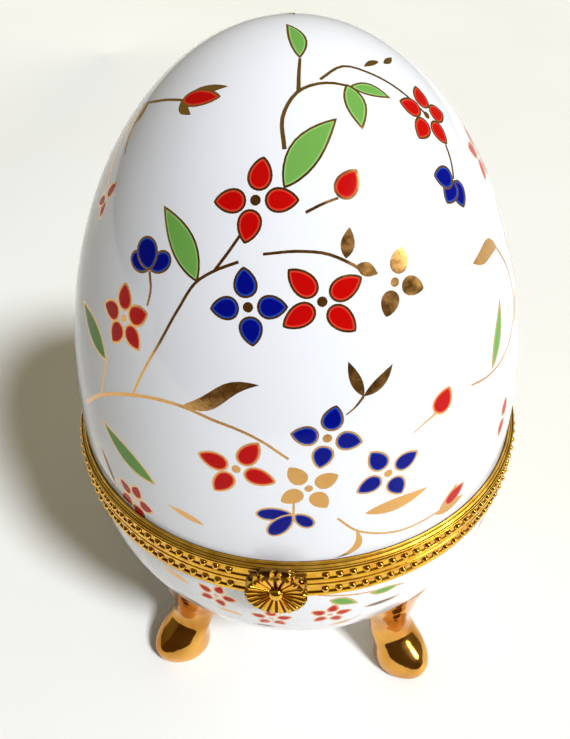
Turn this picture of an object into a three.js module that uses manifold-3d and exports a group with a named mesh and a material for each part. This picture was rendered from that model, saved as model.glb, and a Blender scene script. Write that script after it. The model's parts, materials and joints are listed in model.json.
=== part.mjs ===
// Jewelled egg trinket box: a porcelain egg on four feet, parted at a band of gilt brass.
// The lid swings on a hinge at the back, and a flower-shaped clasp sits in front of the band.
// Millimetres, +Z up. The clasp faces -Y, and the origin is on the ground, under the egg's axis.

import * as THREE from 'three';
import { mergeVertices } from 'three/addons/utils/BufferGeometryUtils.js';
import Module from 'manifold-3d';

const wasm = await Module();
wasm.setup();

// ---- driving dimensions ----

const GAP = 0.3; // clearance between neighbouring pieces
const PORCELAIN_SIDES = 48; // sides of the lid and the bowl
const RING_SIDES = 40; // sides of the brass rings: three beads sit on each side
const OUTSIDE_STEPS = 11; // levels of faces up the lid's outside and down the bowl's
const HOLLOW_STEPS = 7; // the same for their insides

// Heights above the ground, and the two halves of the egg.
const SEAM_HEIGHT = 46; // where lid and bowl meet
const LID_RADIUS = 35.4;
const LID_RISE = 58.9; // from the lid's widest ring to its tip
const LID_WIDEST = 3.5; // height of that ring above the seam
const LID_WALL = 2.8;
const BOWL_RADIUS = 35.8;
const BOWL_DEPTH = 37.5;
const BOWL_FULLNESS = 0.108; // how much fuller than an ellipse the bowl is near its base
const BOWL_WALL = 3.1;
const BOWL_FLOOR = 4;
const BOWL_FLAT = 8; // radius of the flat under the bowl

// The brass band: one channel-shaped ring on each half, closed on the other at the seam.
const BAND_RADIUS = 36.5;
const BAND_WALL = 0.8;
const BAND_INNER_WALL = 0.56;
const BAND_SHELF = 0.8; // thickness of the ring's face at the seam
const BAND_INNER_LIP = 2.9; // height of the ring's inner wall, which lines the porcelain's edge
const UPPER_BAND_HEIGHT = 3.15;
const LOWER_BAND_HEIGHT = 3.1;
const LIP_RISE = 0.75; // sloping lip that closes the upper ring on the lid

// Rows of beads round the band.
const BEADS_PER_ROW = 120;
const BEAD_RADIUS = 0.68;
const BEAD_CIRCLE = BAND_RADIUS - 0.15; // a bead's widest part lies just under the band's face
const UPPER_BEAD_HEIGHT = 1.75;
const LOWER_BEAD_HEIGHT = -1.5;

// Feet: stations of one leg, from its sole up to the knee that grows out of the bowl's side.
// Each is an oval: its height above the ground, its middle's distance from the egg's axis, and
// its half depth (outwards) and half width (across).
const FOOT_COUNT = 4;
const FOOT_SIDES = 12;
const FOOT_RIDGE = 0.12; // how far the front face rises to a ridge, as a share of its depth
const FOOT_STATIONS = [
  { height: 0, reach: 29.2, depth: 4.4, width: 4.2 },
  { height: 0.8, reach: 29.5, depth: 5.1, width: 4.7 },
  { height: 2.6, reach: 29.6, depth: 5.2, width: 4.8 },
  { height: 4.6, reach: 29.0, depth: 4.6, width: 4.6 },
  { height: 6.2, reach: 27.8, depth: 3.8, width: 4.4 },
  { height: 8.2, reach: 26.4, depth: 3.2, width: 4.3 },
  { height: 10.5, reach: 25.9, depth: 3.2, width: 4.4 },
  { height: 14.0, reach: 25.8, depth: 3.5, width: 4.9 },
  { height: 18.0, reach: 26.0, depth: 4.0, width: 5.8 },
  { height: 21.5, reach: 26.6, depth: 4.1, width: 6.4 },
  { height: 24.5, reach: 27.6, depth: 4.0, width: 5.9 },
  { height: 27.0, reach: 28.6, depth: 3.3, width: 3.6 },
];

// Clasp: a two-tier flower soldered to the upper ring, its lower half lapping over the lower ring.
const FLOWER_RADIUS = 4.5;
const PETAL_COUNT = 8;
const PETAL_NOTCH = 0.8; // depth of the notch between two back petals
const PETAL_DEPTH = 0.9;
const RAY_COUNT = 20;
const RAY_GROOVE = 0.35;
const RAY_DEPTH = 1.15; // how far the rim of the rays stands in front of the petals
const RAY_RIM = 0.5; // height of the rim round the rays
const RAY_BACK_RADIUS = 3.6;
const RAY_ROOT_RADIUS = 1.25;
const DISH_DEPTH = 0.7; // how far the rays sink from their rim to the middle
const CENTRE_BEAD = 1.05;
const CENTRE_BEAD_TOP = 1.25; // height of the bead's crown in front of the petals

// Hinge: one leaf on each ring, three knuckles, and a pin.
const HINGE_REACH = 38.4; // distance of the pin's axis from the egg's axis
const HINGE_WIDTH = 12;
const KNUCKLE_RADIUS = 1.3;
const KNUCKLE_SIDES = 12;
const MIDDLE_KNUCKLE = 4.4;
const PIN_RADIUS = 0.45;
const PIN_CLEARANCE = 0.1;
const PIN_HEAD_RADIUS = 0.9;
const PIN_HEAD_HEIGHT = 0.5;
const LEAF_FRONT = BAND_RADIUS + GAP;
const LEAF_BACK = 37.55;
const LEAF_NEAR = 1.4; // edge of a leaf nearest the seam
const LEAF_FAR = 3;
const LEAF_BACKING = 1; // extra plate behind a leaf, which the band's curve cuts away
const WEB_NEAR = 0.3; // the web between a leaf and its knuckles
const WEB_FAR = 1.9;

// ---- materials ----

const porcelain = () => new THREE.MeshStandardMaterial({ color: 0xf5f3ef, roughness: 0.08, metalness: 0 });
const giltBrass = () => new THREE.MeshStandardMaterial({ color: 0xd9a520, roughness: 0.22, metalness: 1 });

// ---- joining and cutting closed shapes ----

function toSolid(geometry) {
  const bare = geometry.clone();
  bare.deleteAttribute('normal');
  bare.deleteAttribute('uv');
  const merged = mergeVertices(bare, 1e-4);
  const mesh = new wasm.Mesh({
    numProp: 3,
    vertProperties: new Float32Array(merged.attributes.position.array),
    triVerts: new Uint32Array(merged.index.array),
  });
  mesh.merge();
  return new wasm.Manifold(mesh);
}

function toGeometry(solid) {
  const { vertProperties, triVerts } = solid.getMesh();
  const geometry = new THREE.BufferGeometry();
  geometry.setAttribute('position', new THREE.BufferAttribute(new Float32Array(vertProperties), 3));
  geometry.setIndex(new THREE.BufferAttribute(new Uint32Array(triVerts), 1));
  geometry.computeVertexNormals();
  return geometry;
}

// ---- outlines and turned shapes ----

// Points of a curve: `place` turns an angle into a point, from the first angle to the last.
function curve(first, last, steps, place) {
  return Array.from({ length: steps + 1 }, (_, i) => place(first + ((last - first) * i) / steps));
}

// Turns a (radius, height) outline about +Z. The outline runs up the outside and down the inside.
function turned(outline, sides = PORCELAIN_SIDES) {
  const geometry = new THREE.LatheGeometry(outline, sides);
  geometry.rotateX(Math.PI / 2);
  return geometry;
}

const point = (radius, height) => new THREE.Vector2(radius, height);
const closed = (outline) => [...outline, outline[0].clone()];

// ---- lid ----

// A dome of the egg's upper end, `inset` inside its surface.
function domePoint(angle, inset) {
  return point((LID_RADIUS - inset) * Math.cos(angle), LID_WIDEST + (LID_RISE - inset) * Math.sin(angle));
}

function lidShell() {
  const edge = BAND_SHELF + GAP / 2 + GAP;
  const outside = curve(0, Math.PI / 2, OUTSIDE_STEPS, (angle) => domePoint(angle, 0));
  const inside = curve(Math.PI / 2, 0, HOLLOW_STEPS, (angle) => domePoint(angle, LID_WALL));
  outside.at(-1).x = 0;
  inside[0].x = 0;
  const foot = [point(LID_RADIUS - LID_WALL, edge), point(LID_RADIUS, edge)];
  // The open outline starts and ends on the axis: down the inside, across the edge, up the outside.
  return turned([...inside, ...foot, ...outside]);
}

// ---- bowl with feet ----

// The bowl's surface at an angle below the seam, `inset` inside the outside and raised by `floor`.
function bowlPoint(angle, inset, floor) {
  const fullness = 1 + BOWL_FULLNESS * Math.sin(angle);
  const radius = (BOWL_RADIUS - inset) * Math.cos(angle) * fullness;
  return point(radius, -(BOWL_DEPTH - floor) * Math.sin(angle));
}

// The bowl's outside: a turned body whose neck steps in to sit inside the lower ring.
function bowlOutside() {
  const neck = LID_RADIUS;
  const top = -(BAND_SHELF + GAP / 2 + GAP);
  const shoulder = -(LOWER_BAND_HEIGHT + GAP);
  const firstAngle = Math.asin(-shoulder / BOWL_DEPTH);
  const lastAngle = Math.acos(BOWL_FLAT / BOWL_RADIUS / (1 + BOWL_FULLNESS));
  const side = curve(lastAngle, firstAngle, OUTSIDE_STEPS - 1, (angle) => bowlPoint(angle, 0, 0));
  return turned([point(0, side[0].y), ...side, point(neck, shoulder), point(neck, top), point(0, top)]);
}

// The hollow inside the bowl, carried on above its edge so that it cuts the mouth open.
function bowlHollow() {
  const mouth = LID_RADIUS - LID_WALL;
  const mouthAngle = Math.asin(LOWER_BAND_HEIGHT / (BOWL_DEPTH - BOWL_FLOOR));
  const side = curve(Math.PI / 2, mouthAngle, HOLLOW_STEPS, (angle) => bowlPoint(angle, BOWL_WALL, BOWL_FLOOR));
  side[0].x = 0;
  return turned([...side, point(mouth, 0), point(0, 0)]);
}

// One leg: an oval of `FOOT_SIDES` points at each station, whose outward half rises to a soft ridge.
function footGeometry() {
  const rings = FOOT_STATIONS.length - 1;
  const geometry = new THREE.CylinderGeometry(1, 1, 1, FOOT_SIDES, rings);
  const position = geometry.attributes.position;
  for (let i = 0; i < position.count; i++) {
    const station = FOOT_STATIONS[Math.round((position.getY(i) + 0.5) * rings)];
    const across = position.getX(i);
    const along = position.getZ(i);
    const ridge = 1 + FOOT_RIDGE * Math.max(0, along) ** 3;
    position.setXYZ(i, across * station.width, -station.reach - along * station.depth * ridge, station.height);
  }
  return geometry;
}

function bowlWithFeet() {
  let body = toSolid(bowlOutside()).translate([0, 0, SEAM_HEIGHT]);
  for (let i = 0; i < FOOT_COUNT; i++) {
    const turn = (360 / FOOT_COUNT) * (i + 0.5);
    body = body.add(toSolid(footGeometry()).rotate([0, 0, turn]));
  }
  body = body.subtract(toSolid(bowlHollow()).translate([0, 0, SEAM_HEIGHT]));
  return toGeometry(body.translate([0, 0, -SEAM_HEIGHT]));
}

// ---- brass band ----

// Whether a bead at this angle round the band is free of the hinge (+Y) and the clasp (-Y).
function beadIsClear(angle) {
  const across = Math.abs(BEAD_CIRCLE * Math.cos(angle));
  const fitting = Math.sin(angle) > 0 ? HINGE_WIDTH : 2 * FLOWER_RADIUS;
  return across > fitting / 2 + BEAD_RADIUS + GAP;
}

// Joins a row of faceted beads to a ring.
function withBeads(ring, height) {
  let beaded = ring;
  for (let i = 0; i < BEADS_PER_ROW; i++) {
    const angle = ((i + 0.5) * 2 * Math.PI) / BEADS_PER_ROW;
    if (beadIsClear(angle)) {
      const bead = new THREE.OctahedronGeometry(BEAD_RADIUS);
      bead.rotateZ(angle);
      bead.translate(BEAD_CIRCLE * Math.cos(angle), BEAD_CIRCLE * Math.sin(angle), height);
      beaded = beaded.add(toSolid(bead));
    }
  }
  return beaded;
}

// Outline of one ring, in its own upright sense: a channel that opens away from the seam.
function channelOutline(height, lipRise) {
  const seam = GAP / 2;
  const wallInside = BAND_RADIUS - BAND_WALL;
  const innerWallOutside = LID_RADIUS - LID_WALL - GAP;
  const innerWallInside = innerWallOutside - BAND_INNER_WALL;
  return [
    point(innerWallInside, seam),
    point(BAND_RADIUS, seam),
    point(BAND_RADIUS, height),
    point(wallInside, height + lipRise),
    point(wallInside, seam + BAND_SHELF),
    point(innerWallOutside, seam + BAND_SHELF),
    point(innerWallOutside, BAND_INNER_LIP),
    point(innerWallInside, BAND_INNER_LIP),
  ];
}

function upperRing() {
  const ring = toSolid(turned(closed(channelOutline(UPPER_BAND_HEIGHT, LIP_RISE)), RING_SIDES));
  return toGeometry(withBeads(ring, UPPER_BEAD_HEIGHT));
}

// The lower ring is the same channel turned over, with no lip.
function lowerRing() {
  const mirrored = channelOutline(LOWER_BAND_HEIGHT, 0).map((p) => point(p.x, -p.y)).reverse();
  const ring = toSolid(turned(closed(mirrored), RING_SIDES));
  return toGeometry(withBeads(ring, LOWER_BEAD_HEIGHT));
}

// ---- clasp ----

// The back tier: round petals with notches between them, as a flat plate.
function petalTier() {
  const stepsPerPetal = 4;
  const outline = curve(0, 2 * Math.PI, PETAL_COUNT * stepsPerPetal, (angle) => {
    const swell = Math.abs(Math.cos((angle * PETAL_COUNT) / 2));
    const radius = FLOWER_RADIUS - PETAL_NOTCH * (1 - Math.sqrt(swell));
    return point(radius * Math.sin(angle), radius * Math.cos(angle));
  });
  const plate = new THREE.Shape(outline.slice(0, -1));
  const geometry = new THREE.ExtrudeGeometry(plate, { depth: PETAL_DEPTH, bevelEnabled: false });
  geometry.rotateX(Math.PI / 2);
  return geometry;
}

// The front tier: a shallow dish of narrow rays round a central bead, turned and then grooved.
// It is rooted `GAP` deep in the back tier.
function rayTier() {
  const dishFloor = RAY_DEPTH - DISH_DEPTH;
  const outline = [
    point(0, -GAP),
    point(RAY_BACK_RADIUS, -GAP),
    point(FLOWER_RADIUS, RAY_DEPTH - RAY_RIM),
    point(FLOWER_RADIUS - RAY_RIM / 4, RAY_DEPTH),
    point(RAY_ROOT_RADIUS, dishFloor),
    point(CENTRE_BEAD, dishFloor + DISH_DEPTH / 2),
    point(CENTRE_BEAD * Math.SQRT1_2, RAY_DEPTH),
    point(0, CENTRE_BEAD_TOP),
  ];
  const geometry = new THREE.LatheGeometry(outline, RAY_COUNT * 2);
  const position = geometry.attributes.position;
  for (let i = 0; i < position.count; i++) {
    const radius = Math.hypot(position.getX(i), position.getZ(i));
    const segment = Math.round(Math.atan2(position.getX(i), position.getZ(i)) / (Math.PI / RAY_COUNT));
    if (radius > CENTRE_BEAD * 1.1 && position.getY(i) > 0 && segment % 2 !== 0) {
      position.setY(i, position.getY(i) - RAY_GROOVE);
    }
  }
  geometry.rotateX(Math.PI);
  return geometry;
}

function claspRosette() {
  const back = BAND_RADIUS + GAP;
  const petals = toSolid(petalTier()).translate([0, -back, 0]);
  const rays = toSolid(rayTier()).translate([0, -back - PETAL_DEPTH, 0]);
  return toGeometry(petals.add(rays));
}

// ---- hinge ----

// A leaf above the seam: a plate hollowed to the band, a web, and a barrel for each stretch of width.
function hingeLeaf(stretches) {
  const thickness = LEAF_BACK - LEAF_FRONT + LEAF_BACKING;
  const plate = new THREE.BoxGeometry(HINGE_WIDTH, thickness, LEAF_FAR - LEAF_NEAR);
  plate.translate(0, LEAF_BACK - thickness / 2, (LEAF_FAR + LEAF_NEAR) / 2);
  const band = new THREE.CylinderGeometry(LEAF_FRONT, LEAF_FRONT, SEAM_HEIGHT, RING_SIDES * 2);
  band.rotateX(Math.PI / 2);
  let leaf = toSolid(plate).subtract(toSolid(band));
  const webReach = HINGE_REACH - LEAF_FRONT - GAP / 2;
  for (const { centre, width } of stretches) {
    const web = new THREE.BoxGeometry(width, webReach, WEB_FAR - WEB_NEAR);
    web.translate(centre, HINGE_REACH - webReach / 2, (WEB_FAR + WEB_NEAR) / 2);
    const barrel = new THREE.CylinderGeometry(KNUCKLE_RADIUS, KNUCKLE_RADIUS, width, KNUCKLE_SIDES);
    barrel.rotateZ(Math.PI / 2);
    barrel.translate(centre, HINGE_REACH, 0);
    leaf = leaf.add(toSolid(web)).add(toSolid(barrel));
  }
  const boreRadius = PIN_RADIUS + PIN_CLEARANCE;
  const bore = new THREE.CylinderGeometry(boreRadius, boreRadius, HINGE_WIDTH * 2, KNUCKLE_SIDES);
  bore.rotateZ(Math.PI / 2);
  bore.translate(0, HINGE_REACH, 0);
  return leaf.subtract(toSolid(bore));
}

function upperLeaf() {
  return toGeometry(hingeLeaf([{ centre: 0, width: MIDDLE_KNUCKLE }]));
}

// The lower leaf carries the two outer knuckles: the same shape, turned over about the pin.
function lowerLeaf() {
  const width = (HINGE_WIDTH - MIDDLE_KNUCKLE) / 2 - GAP;
  const centre = (HINGE_WIDTH - width) / 2;
  const leaf = hingeLeaf([
    { centre: -centre, width },
    { centre, width },
  ]);
  return toGeometry(leaf.mirror([0, 0, 1]));
}

// The pin, with a small round head past each outer knuckle.
function hingePin() {
  const half = HINGE_WIDTH / 2 + GAP / 2;
  const end = half + PIN_HEAD_HEIGHT;
  const domed = PIN_HEAD_RADIUS * 0.6;
  const outline = [
    point(0, -end),
    point(domed, -end),
    point(PIN_HEAD_RADIUS, -half),
    point(PIN_RADIUS, -half),
    point(PIN_RADIUS, half),
    point(PIN_HEAD_RADIUS, half),
    point(domed, end),
    point(0, end),
  ];
  const geometry = new THREE.LatheGeometry(outline, KNUCKLE_SIDES);
  geometry.rotateZ(Math.PI / 2);
  return geometry;
}

// ---- the box ----

function named(name, geometry, material) {
  const mesh = new THREE.Mesh(geometry, material);
  mesh.name = name;
  return mesh;
}

// Every piece is drawn with the seam at height 0, so the group stands it on its feet.
const eggBox = new THREE.Group();
eggBox.position.z = SEAM_HEIGHT;

const base = new THREE.Group();
base.add(named('bowl_with_feet', bowlWithFeet(), porcelain()));
base.add(named('lower_ring', lowerRing(), giltBrass()));
base.add(named('hinge_leaf_lower', lowerLeaf(), giltBrass()));
const pin = named('hinge_pin', hingePin(), giltBrass());
pin.position.y = HINGE_REACH;
base.add(pin);

const cover = new THREE.Group();
cover.add(named('lid_shell', lidShell(), porcelain()));
cover.add(named('upper_ring', upperRing(), giltBrass()));
cover.add(named('hinge_leaf_upper', upperLeaf(), giltBrass()));
cover.add(named('clasp_rosette', claspRosette(), giltBrass()));

eggBox.add(base, cover);

export default eggBox;
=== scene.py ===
"""Jewelled egg trinket box: the looks.

A white porcelain egg on four gilded feet opens on a hinge at a band of beaded gilt brass. Sprays of
enamel flowers with gold outlines lie under its glaze, and a flower of brass covers the clasp.

Sizes are in millimetres and turn to metres as each mesh is made. Places on the egg are a pair of
numbers: degrees round from the clasp, towards +X, and millimetres above the seam.
"""

import json
import logging
import math
from dataclasses import dataclass, field, replace
from enum import Enum
from functools import partial
from typing import Iterable, Sequence

import bmesh
import bpy
import numpy as np
from mathutils import Matrix, Vector, kdtree
from mathutils.geometry import delaunay_2d_cdt


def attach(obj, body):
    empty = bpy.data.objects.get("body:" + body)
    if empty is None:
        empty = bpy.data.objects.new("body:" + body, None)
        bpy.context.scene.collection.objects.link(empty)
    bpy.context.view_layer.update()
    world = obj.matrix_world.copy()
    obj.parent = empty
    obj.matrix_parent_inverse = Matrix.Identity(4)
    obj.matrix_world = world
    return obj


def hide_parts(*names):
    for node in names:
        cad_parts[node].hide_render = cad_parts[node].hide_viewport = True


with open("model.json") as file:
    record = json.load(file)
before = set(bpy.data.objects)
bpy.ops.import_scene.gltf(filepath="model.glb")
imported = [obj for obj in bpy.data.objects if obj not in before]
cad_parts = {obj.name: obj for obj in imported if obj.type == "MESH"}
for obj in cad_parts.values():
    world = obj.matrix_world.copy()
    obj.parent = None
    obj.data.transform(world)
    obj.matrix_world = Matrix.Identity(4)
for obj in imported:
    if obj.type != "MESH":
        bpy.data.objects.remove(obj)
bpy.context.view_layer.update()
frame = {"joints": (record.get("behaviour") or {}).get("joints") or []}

MM = 0.001
HINGE = frame["joints"][0]
SEAM = HINGE["pos_m"][2] / MM  # height of the seam above the ground
PIN_REACH = HINGE["pos_m"][1] / MM  # distance of the hinge pin from the egg's axis
AT_CENTRE = 1e-4  # radius of a circle of copies that all stand on its middle
TINY = 1e-9
LOG = logging.getLogger("egg_box")

Place = tuple[float, float]
Row = tuple[float, ...]


def put(name: str, data: bpy.types.ID) -> bpy.types.Object:
    """Makes an object of that data and puts it in the scene.

    Args:
        name: Its name.
        data: Its mesh, light or camera.

    Returns:
        The object.
    """
    made = bpy.data.objects.new(name, data)
    bpy.context.scene.collection.objects.link(made)
    return made


# ---------------------------------------------------------------- finishes

NOISE_LOW, NOISE_HIGH = 0.3, 0.7  # nearly all of a noise lies between these
ENAMEL_GLOSS = 0.1  # weaker than plain glass, matched to the enamels' deep colours


def linear(colour: str) -> tuple[float, float, float, float]:
    """Turns an sRGB hex colour to the linear values that shaders take.

    Args:
        colour: Six hex digits, such as "C80000".

    Returns:
        Red, green, blue and an alpha of 1.
    """
    parts = [int(colour[i : i + 2], 16) / 255 for i in (0, 2, 4)]
    lit = [c / 12.92 if c <= 0.04045 else ((c + 0.055) / 1.055) ** 2.4 for c in parts]
    return lit[0], lit[1], lit[2], 1.0


def add_node(
    tree: bpy.types.NodeTree, kind: str, values: dict | None = None,
    **links: bpy.types.Node | bpy.types.NodeSocket,
) -> bpy.types.Node:
    """Adds a node with its settings, input values and links.

    Args:
        tree: The tree that the node goes in.
        kind: The node's class name.
        values: Settings by attribute name, inputs by "in:" and their name or number, and the two
            places and colours of a colour ramp by "stops".
        **links: Inputs to link, by name with "_" for a space, or "i" and a number. Where a node is
            given for a socket, its first output is meant.

    Returns:
        The new node.
    """
    node = tree.nodes.new(kind)
    for key, value in (values or {}).items():
        if key.startswith("in:"):
            name = key[3:]
            node.inputs[int(name) if name.isdigit() else name].default_value = value
        elif key == "stops":
            for stop, (at, colour) in zip(node.color_ramp.elements, value):
                stop.position, stop.color = at, linear(colour)
        else:
            setattr(node, key, value)
    for key, source in links.items():
        target = int(key[1:]) if key[0] == "i" and key[1:].isdigit() else key.replace("_", " ")
        socket = source.outputs[0] if isinstance(source, bpy.types.Node) else source
        tree.links.new(socket, node.inputs[target])
    return node


@dataclass(frozen=True)
class Finish:
    """A surface: what it is made of and how its grain is drawn.

    Attributes:
        name: The material's common name and how it was made.
        colour: Main colour.
        shade: Second colour, mixed in softly where it is given.
        metallic: 0 for glaze and enamel, 1 for gold and brass.
        roughness: Typical roughness.
        roughness_spread: How far the roughness wanders either way.
        grain_mm: Size of the wandering.
        bump_mm: Depth of the unevenness.
        bump_grain_mm: Size of the unevenness.
        shade_grain_mm: Size of the colour's patches.
        ior: Index of refraction.
        gloss: Strength of the mirror image on glaze or enamel, 0.5 for plain glass.
    """

    name: str
    colour: str
    shade: str | None = None
    metallic: float = 0.0
    roughness: float = 0.1
    roughness_spread: float = 0.03
    grain_mm: float = 4.0
    bump_mm: float = 0.0
    bump_grain_mm: float = 1.0
    shade_grain_mm: float = 12.0
    ior: float = 1.5
    gloss: float = 0.5

    def material(self) -> bpy.types.Material:
        """Makes the material, or takes the one that is already made.

        Returns:
            The material.
        """
        made = bpy.data.materials.get(self.name)
        if made:
            return made
        made = bpy.data.materials.new(self.name)
        made.use_nodes = True
        tree = made.node_tree
        tree.nodes.clear()
        where = add_node(tree, "ShaderNodeTexCoord").outputs["Object"]
        shader = add_node(tree, "ShaderNodeBsdfPrincipled", {
            "in:Base Color": linear(self.colour),
            "in:Metallic": self.metallic,
            "in:IOR": self.ior,
            "in:Specular IOR Level": self.gloss,
        })
        for socket, (grain_mm, detail, kind, entry, values) in self._grains().items():
            grain = {"in:Scale": 1 / (grain_mm * MM), "in:Detail": detail}
            noise = add_node(tree, "ShaderNodeTexNoise", grain, Vector=where)
            between = add_node(tree, kind, values, **{entry: noise})
            tree.links.new(between.outputs[0], shader.inputs[socket])
        add_node(tree, "ShaderNodeOutputMaterial", Surface=shader)
        return made

    def _grains(self) -> dict[str, tuple[float, float, str, str, dict]]:
        """Says which sockets of the shader a noise drives.

        Returns:
            For each socket the noise's grain and detail, then the kind, the input and the settings
            of the node that stands between them.
        """
        smoothest = max(self.roughness - self.roughness_spread, 0.0)
        wander = {
            "in:From Min": NOISE_LOW, "in:From Max": NOISE_HIGH,
            "in:To Min": smoothest, "in:To Max": self.roughness + self.roughness_spread,
        }
        grains = {"Roughness": (self.grain_mm, 3.0, "ShaderNodeMapRange", "Value", wander)}
        if self.shade:
            patches = {"stops": ((0.35, self.shade), (0.65, self.colour))}
            grains["Base Color"] = (self.shade_grain_mm, 2.0, "ShaderNodeValToRGB", "Fac", patches)
        if self.bump_mm:
            depth = {"in:Strength": 1.0, "in:Distance": self.bump_mm * MM}
            grains["Normal"] = (self.bump_grain_mm, 2.0, "ShaderNodeBump", "Height", depth)
        return grains


def enamel(name: str, colour: str, roughness: float, bump_grain_mm: float | None = None) -> Finish:
    """A fired enamel in a strong flat colour, uneven where its grain is given."""
    uneven = {"bump_mm": 0.006, "bump_grain_mm": bump_grain_mm} if bump_grain_mm else {}
    return Finish(name, colour, roughness=roughness, gloss=ENAMEL_GLOSS, **uneven)


# Slip-cast porcelain under a clear glaze: white with a faint cool cast, and sharp reflections.
PORCELAIN = Finish("glazed porcelain", "E9EBEF", "E4E6EA", roughness=0.05, roughness_spread=0.02,
                   bump_mm=0.004, bump_grain_mm=9.0, shade_grain_mm=30.0)
# Each colour of enamel lies thick in the middle of a petal or leaf and thin, so paler, at its edge.
RED_ENAMEL = enamel("red enamel", "B80806", 0.09, 0.8)
RED_EDGE = enamel("thin red enamel", "D23A2A", 0.09)
BLUE_ENAMEL = enamel("cobalt enamel", "030B7A", 0.08, 0.8)
BLUE_EDGE = enamel("thin cobalt enamel", "1A44A2", 0.09)
GREEN_ENAMEL = enamel("leaf green enamel", "6CA24A", 0.1, 0.9)
GREEN_EDGE = enamel("thin green enamel", "8ABA68", 0.1)
GREY_ENAMEL = enamel("grey blue enamel", "5B6E7C", 0.1)
# Burnished gold lines: they mirror the dark side of the room as brown and the light side as pale gold.
GOLD_LINE = Finish("burnished gold line", "DDAA66", metallic=1.0, roughness=0.2, roughness_spread=0.08,
                   grain_mm=1.2, bump_mm=0.01, bump_grain_mm=0.6)
# Bright gold fired on the feet: a liquid mirror, warm orange where it sees the room.
MIRROR_GOLD = Finish("mirror gold on porcelain", "EAB055", "BE7C2C", metallic=1.0, roughness=0.09,
                     roughness_spread=0.04, grain_mm=5.0, bump_mm=0.16, bump_grain_mm=5.0,
                     shade_grain_mm=8.0)
# Gilt brass, stamped and polished: strong yellow, with fine marks from the die.
GILT_BRASS = Finish("stamped gilt brass", "F4BE30", "DC9A16", metallic=0.88, roughness=0.18,
                    roughness_spread=0.07, grain_mm=0.9, bump_mm=0.015, bump_grain_mm=0.5,
                    shade_grain_mm=2.5)
# The sloping lip of the upper ring, worn satin by fingers, so the sun spreads over it.
SATIN_BRASS = replace(GILT_BRASS, name="satin gilt brass", colour="F0C050", shade="D8A030",
                      roughness=0.4, roughness_spread=0.1)
# The beads and the flower's rays, rubbed bright: dark above, gold below, and a sharp light.
BUFFED_BRASS = Finish("buffed gilt brass", "EAB43C", metallic=1.0, roughness=0.1, roughness_spread=0.03,
                      grain_mm=0.8, bump_mm=0.01, bump_grain_mm=0.9)
# The flower's back petals: glossy brass whose dark brown colour is a painted dark reflection of the room, so
# they still carry sharp white lights.
DARK_REFLECTION_BRASS = replace(BUFFED_BRASS, name="glossy aged brass", colour="84602A", bump_mm=0.03)
# The same brass, dark brown and dull, laid on the grooves, recesses and undersides: painted shade where
# those hollows lie in shadow.
SHADE_PAINTED_BRASS = Finish("tarnished brass in the grooves", "5A3A0C", metallic=1.0, roughness=0.38,
                 roughness_spread=0.08, grain_mm=0.8)
# Painted board under the object: white with the faintest cream.
BOARD = Finish("cream painted board", "FAFAF5", "F7F6EF", roughness=0.5, shade_grain_mm=150.0)


class Paint(Enum):
    """What a patch of the decoration is painted with."""

    RED = (RED_ENAMEL, RED_EDGE)
    BLUE = (BLUE_ENAMEL, BLUE_EDGE)
    GREEN = (GREEN_ENAMEL, GREEN_EDGE)
    GREY = (GREY_ENAMEL, None)
    GOLD = (GOLD_LINE, None)


class Slot(Enum):
    """Material slots of the record."""

    PORCELAIN = "porcelain"
    BRASS = "gilt_brass"


class Rider(Enum):
    """Bodies that pieces ride on."""

    BASE = "base"
    COVER = "cover"


# ---------------------------------------------------------------- meshes


@dataclass
class Shape:
    """Points in millimetres, faces, and the finish of each face."""

    points: list = field(default_factory=list)
    faces: list = field(default_factory=list)
    finishes: list = field(default_factory=list)

    def add(self, other: "Shape") -> "Shape":
        """Appends another shape and returns this one.

        Args:
            other: The shape to append.

        Returns:
            This shape.
        """
        first = len(self.points)
        self.points.extend(other.points)
        self.faces.extend(tuple(first + i for i in face) for face in other.faces)
        self.finishes.extend(other.finishes)
        return self

    def moved(self, matrix: Matrix) -> "Shape":
        """A copy of the shape carried by a matrix."""
        return Shape([tuple(matrix @ Vector(p)) for p in self.points], list(self.faces), list(self.finishes))

    def mesh(self, name: str, recalculate: bool = True, sharp_deg: float = 40.0) -> bpy.types.Mesh:
        """Makes the mesh, in metres.

        Args:
            name: The mesh's name.
            recalculate: Whether faces are turned to point outwards.
            sharp_deg: Edges sharper than this keep their crease.

        Returns:
            The mesh, with one material for each finish.
        """
        mesh = bpy.data.meshes.new(name)
        mesh.from_pydata([tuple(c * MM for c in p) for p in self.points], [], self.faces)
        order = list(dict.fromkeys(self.finishes))
        for finish in order:
            mesh.materials.append(finish.material())
        mesh.polygons.foreach_set("material_index", [order.index(f) for f in self.finishes])
        if recalculate:
            work = bmesh.new()
            work.from_mesh(mesh)
            bmesh.ops.recalc_face_normals(work, faces=work.faces)
            work.to_mesh(mesh)
            work.free()
        mesh.shade_smooth()
        mesh.set_sharp_from_angle(angle=math.radians(sharp_deg))
        return mesh


def piece(mesh: bpy.types.Mesh, rider: Rider, stands_for: str) -> bpy.types.Object:
    """Makes a finished piece, named as its mesh, puts it on its body and hides the CAD node that it
    replaces.

    Args:
        mesh: Its mesh, in metres and in place.
        rider: The body it rides on.
        stands_for: The CAD node that it replaces.

    Returns:
        The object.
    """
    name = mesh.name
    made = put(name, mesh)
    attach(made, rider.value)
    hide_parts(stands_for)
    LOG.info("%s: %d points, %d faces", name, len(mesh.vertices), len(mesh.polygons))
    return made


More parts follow.
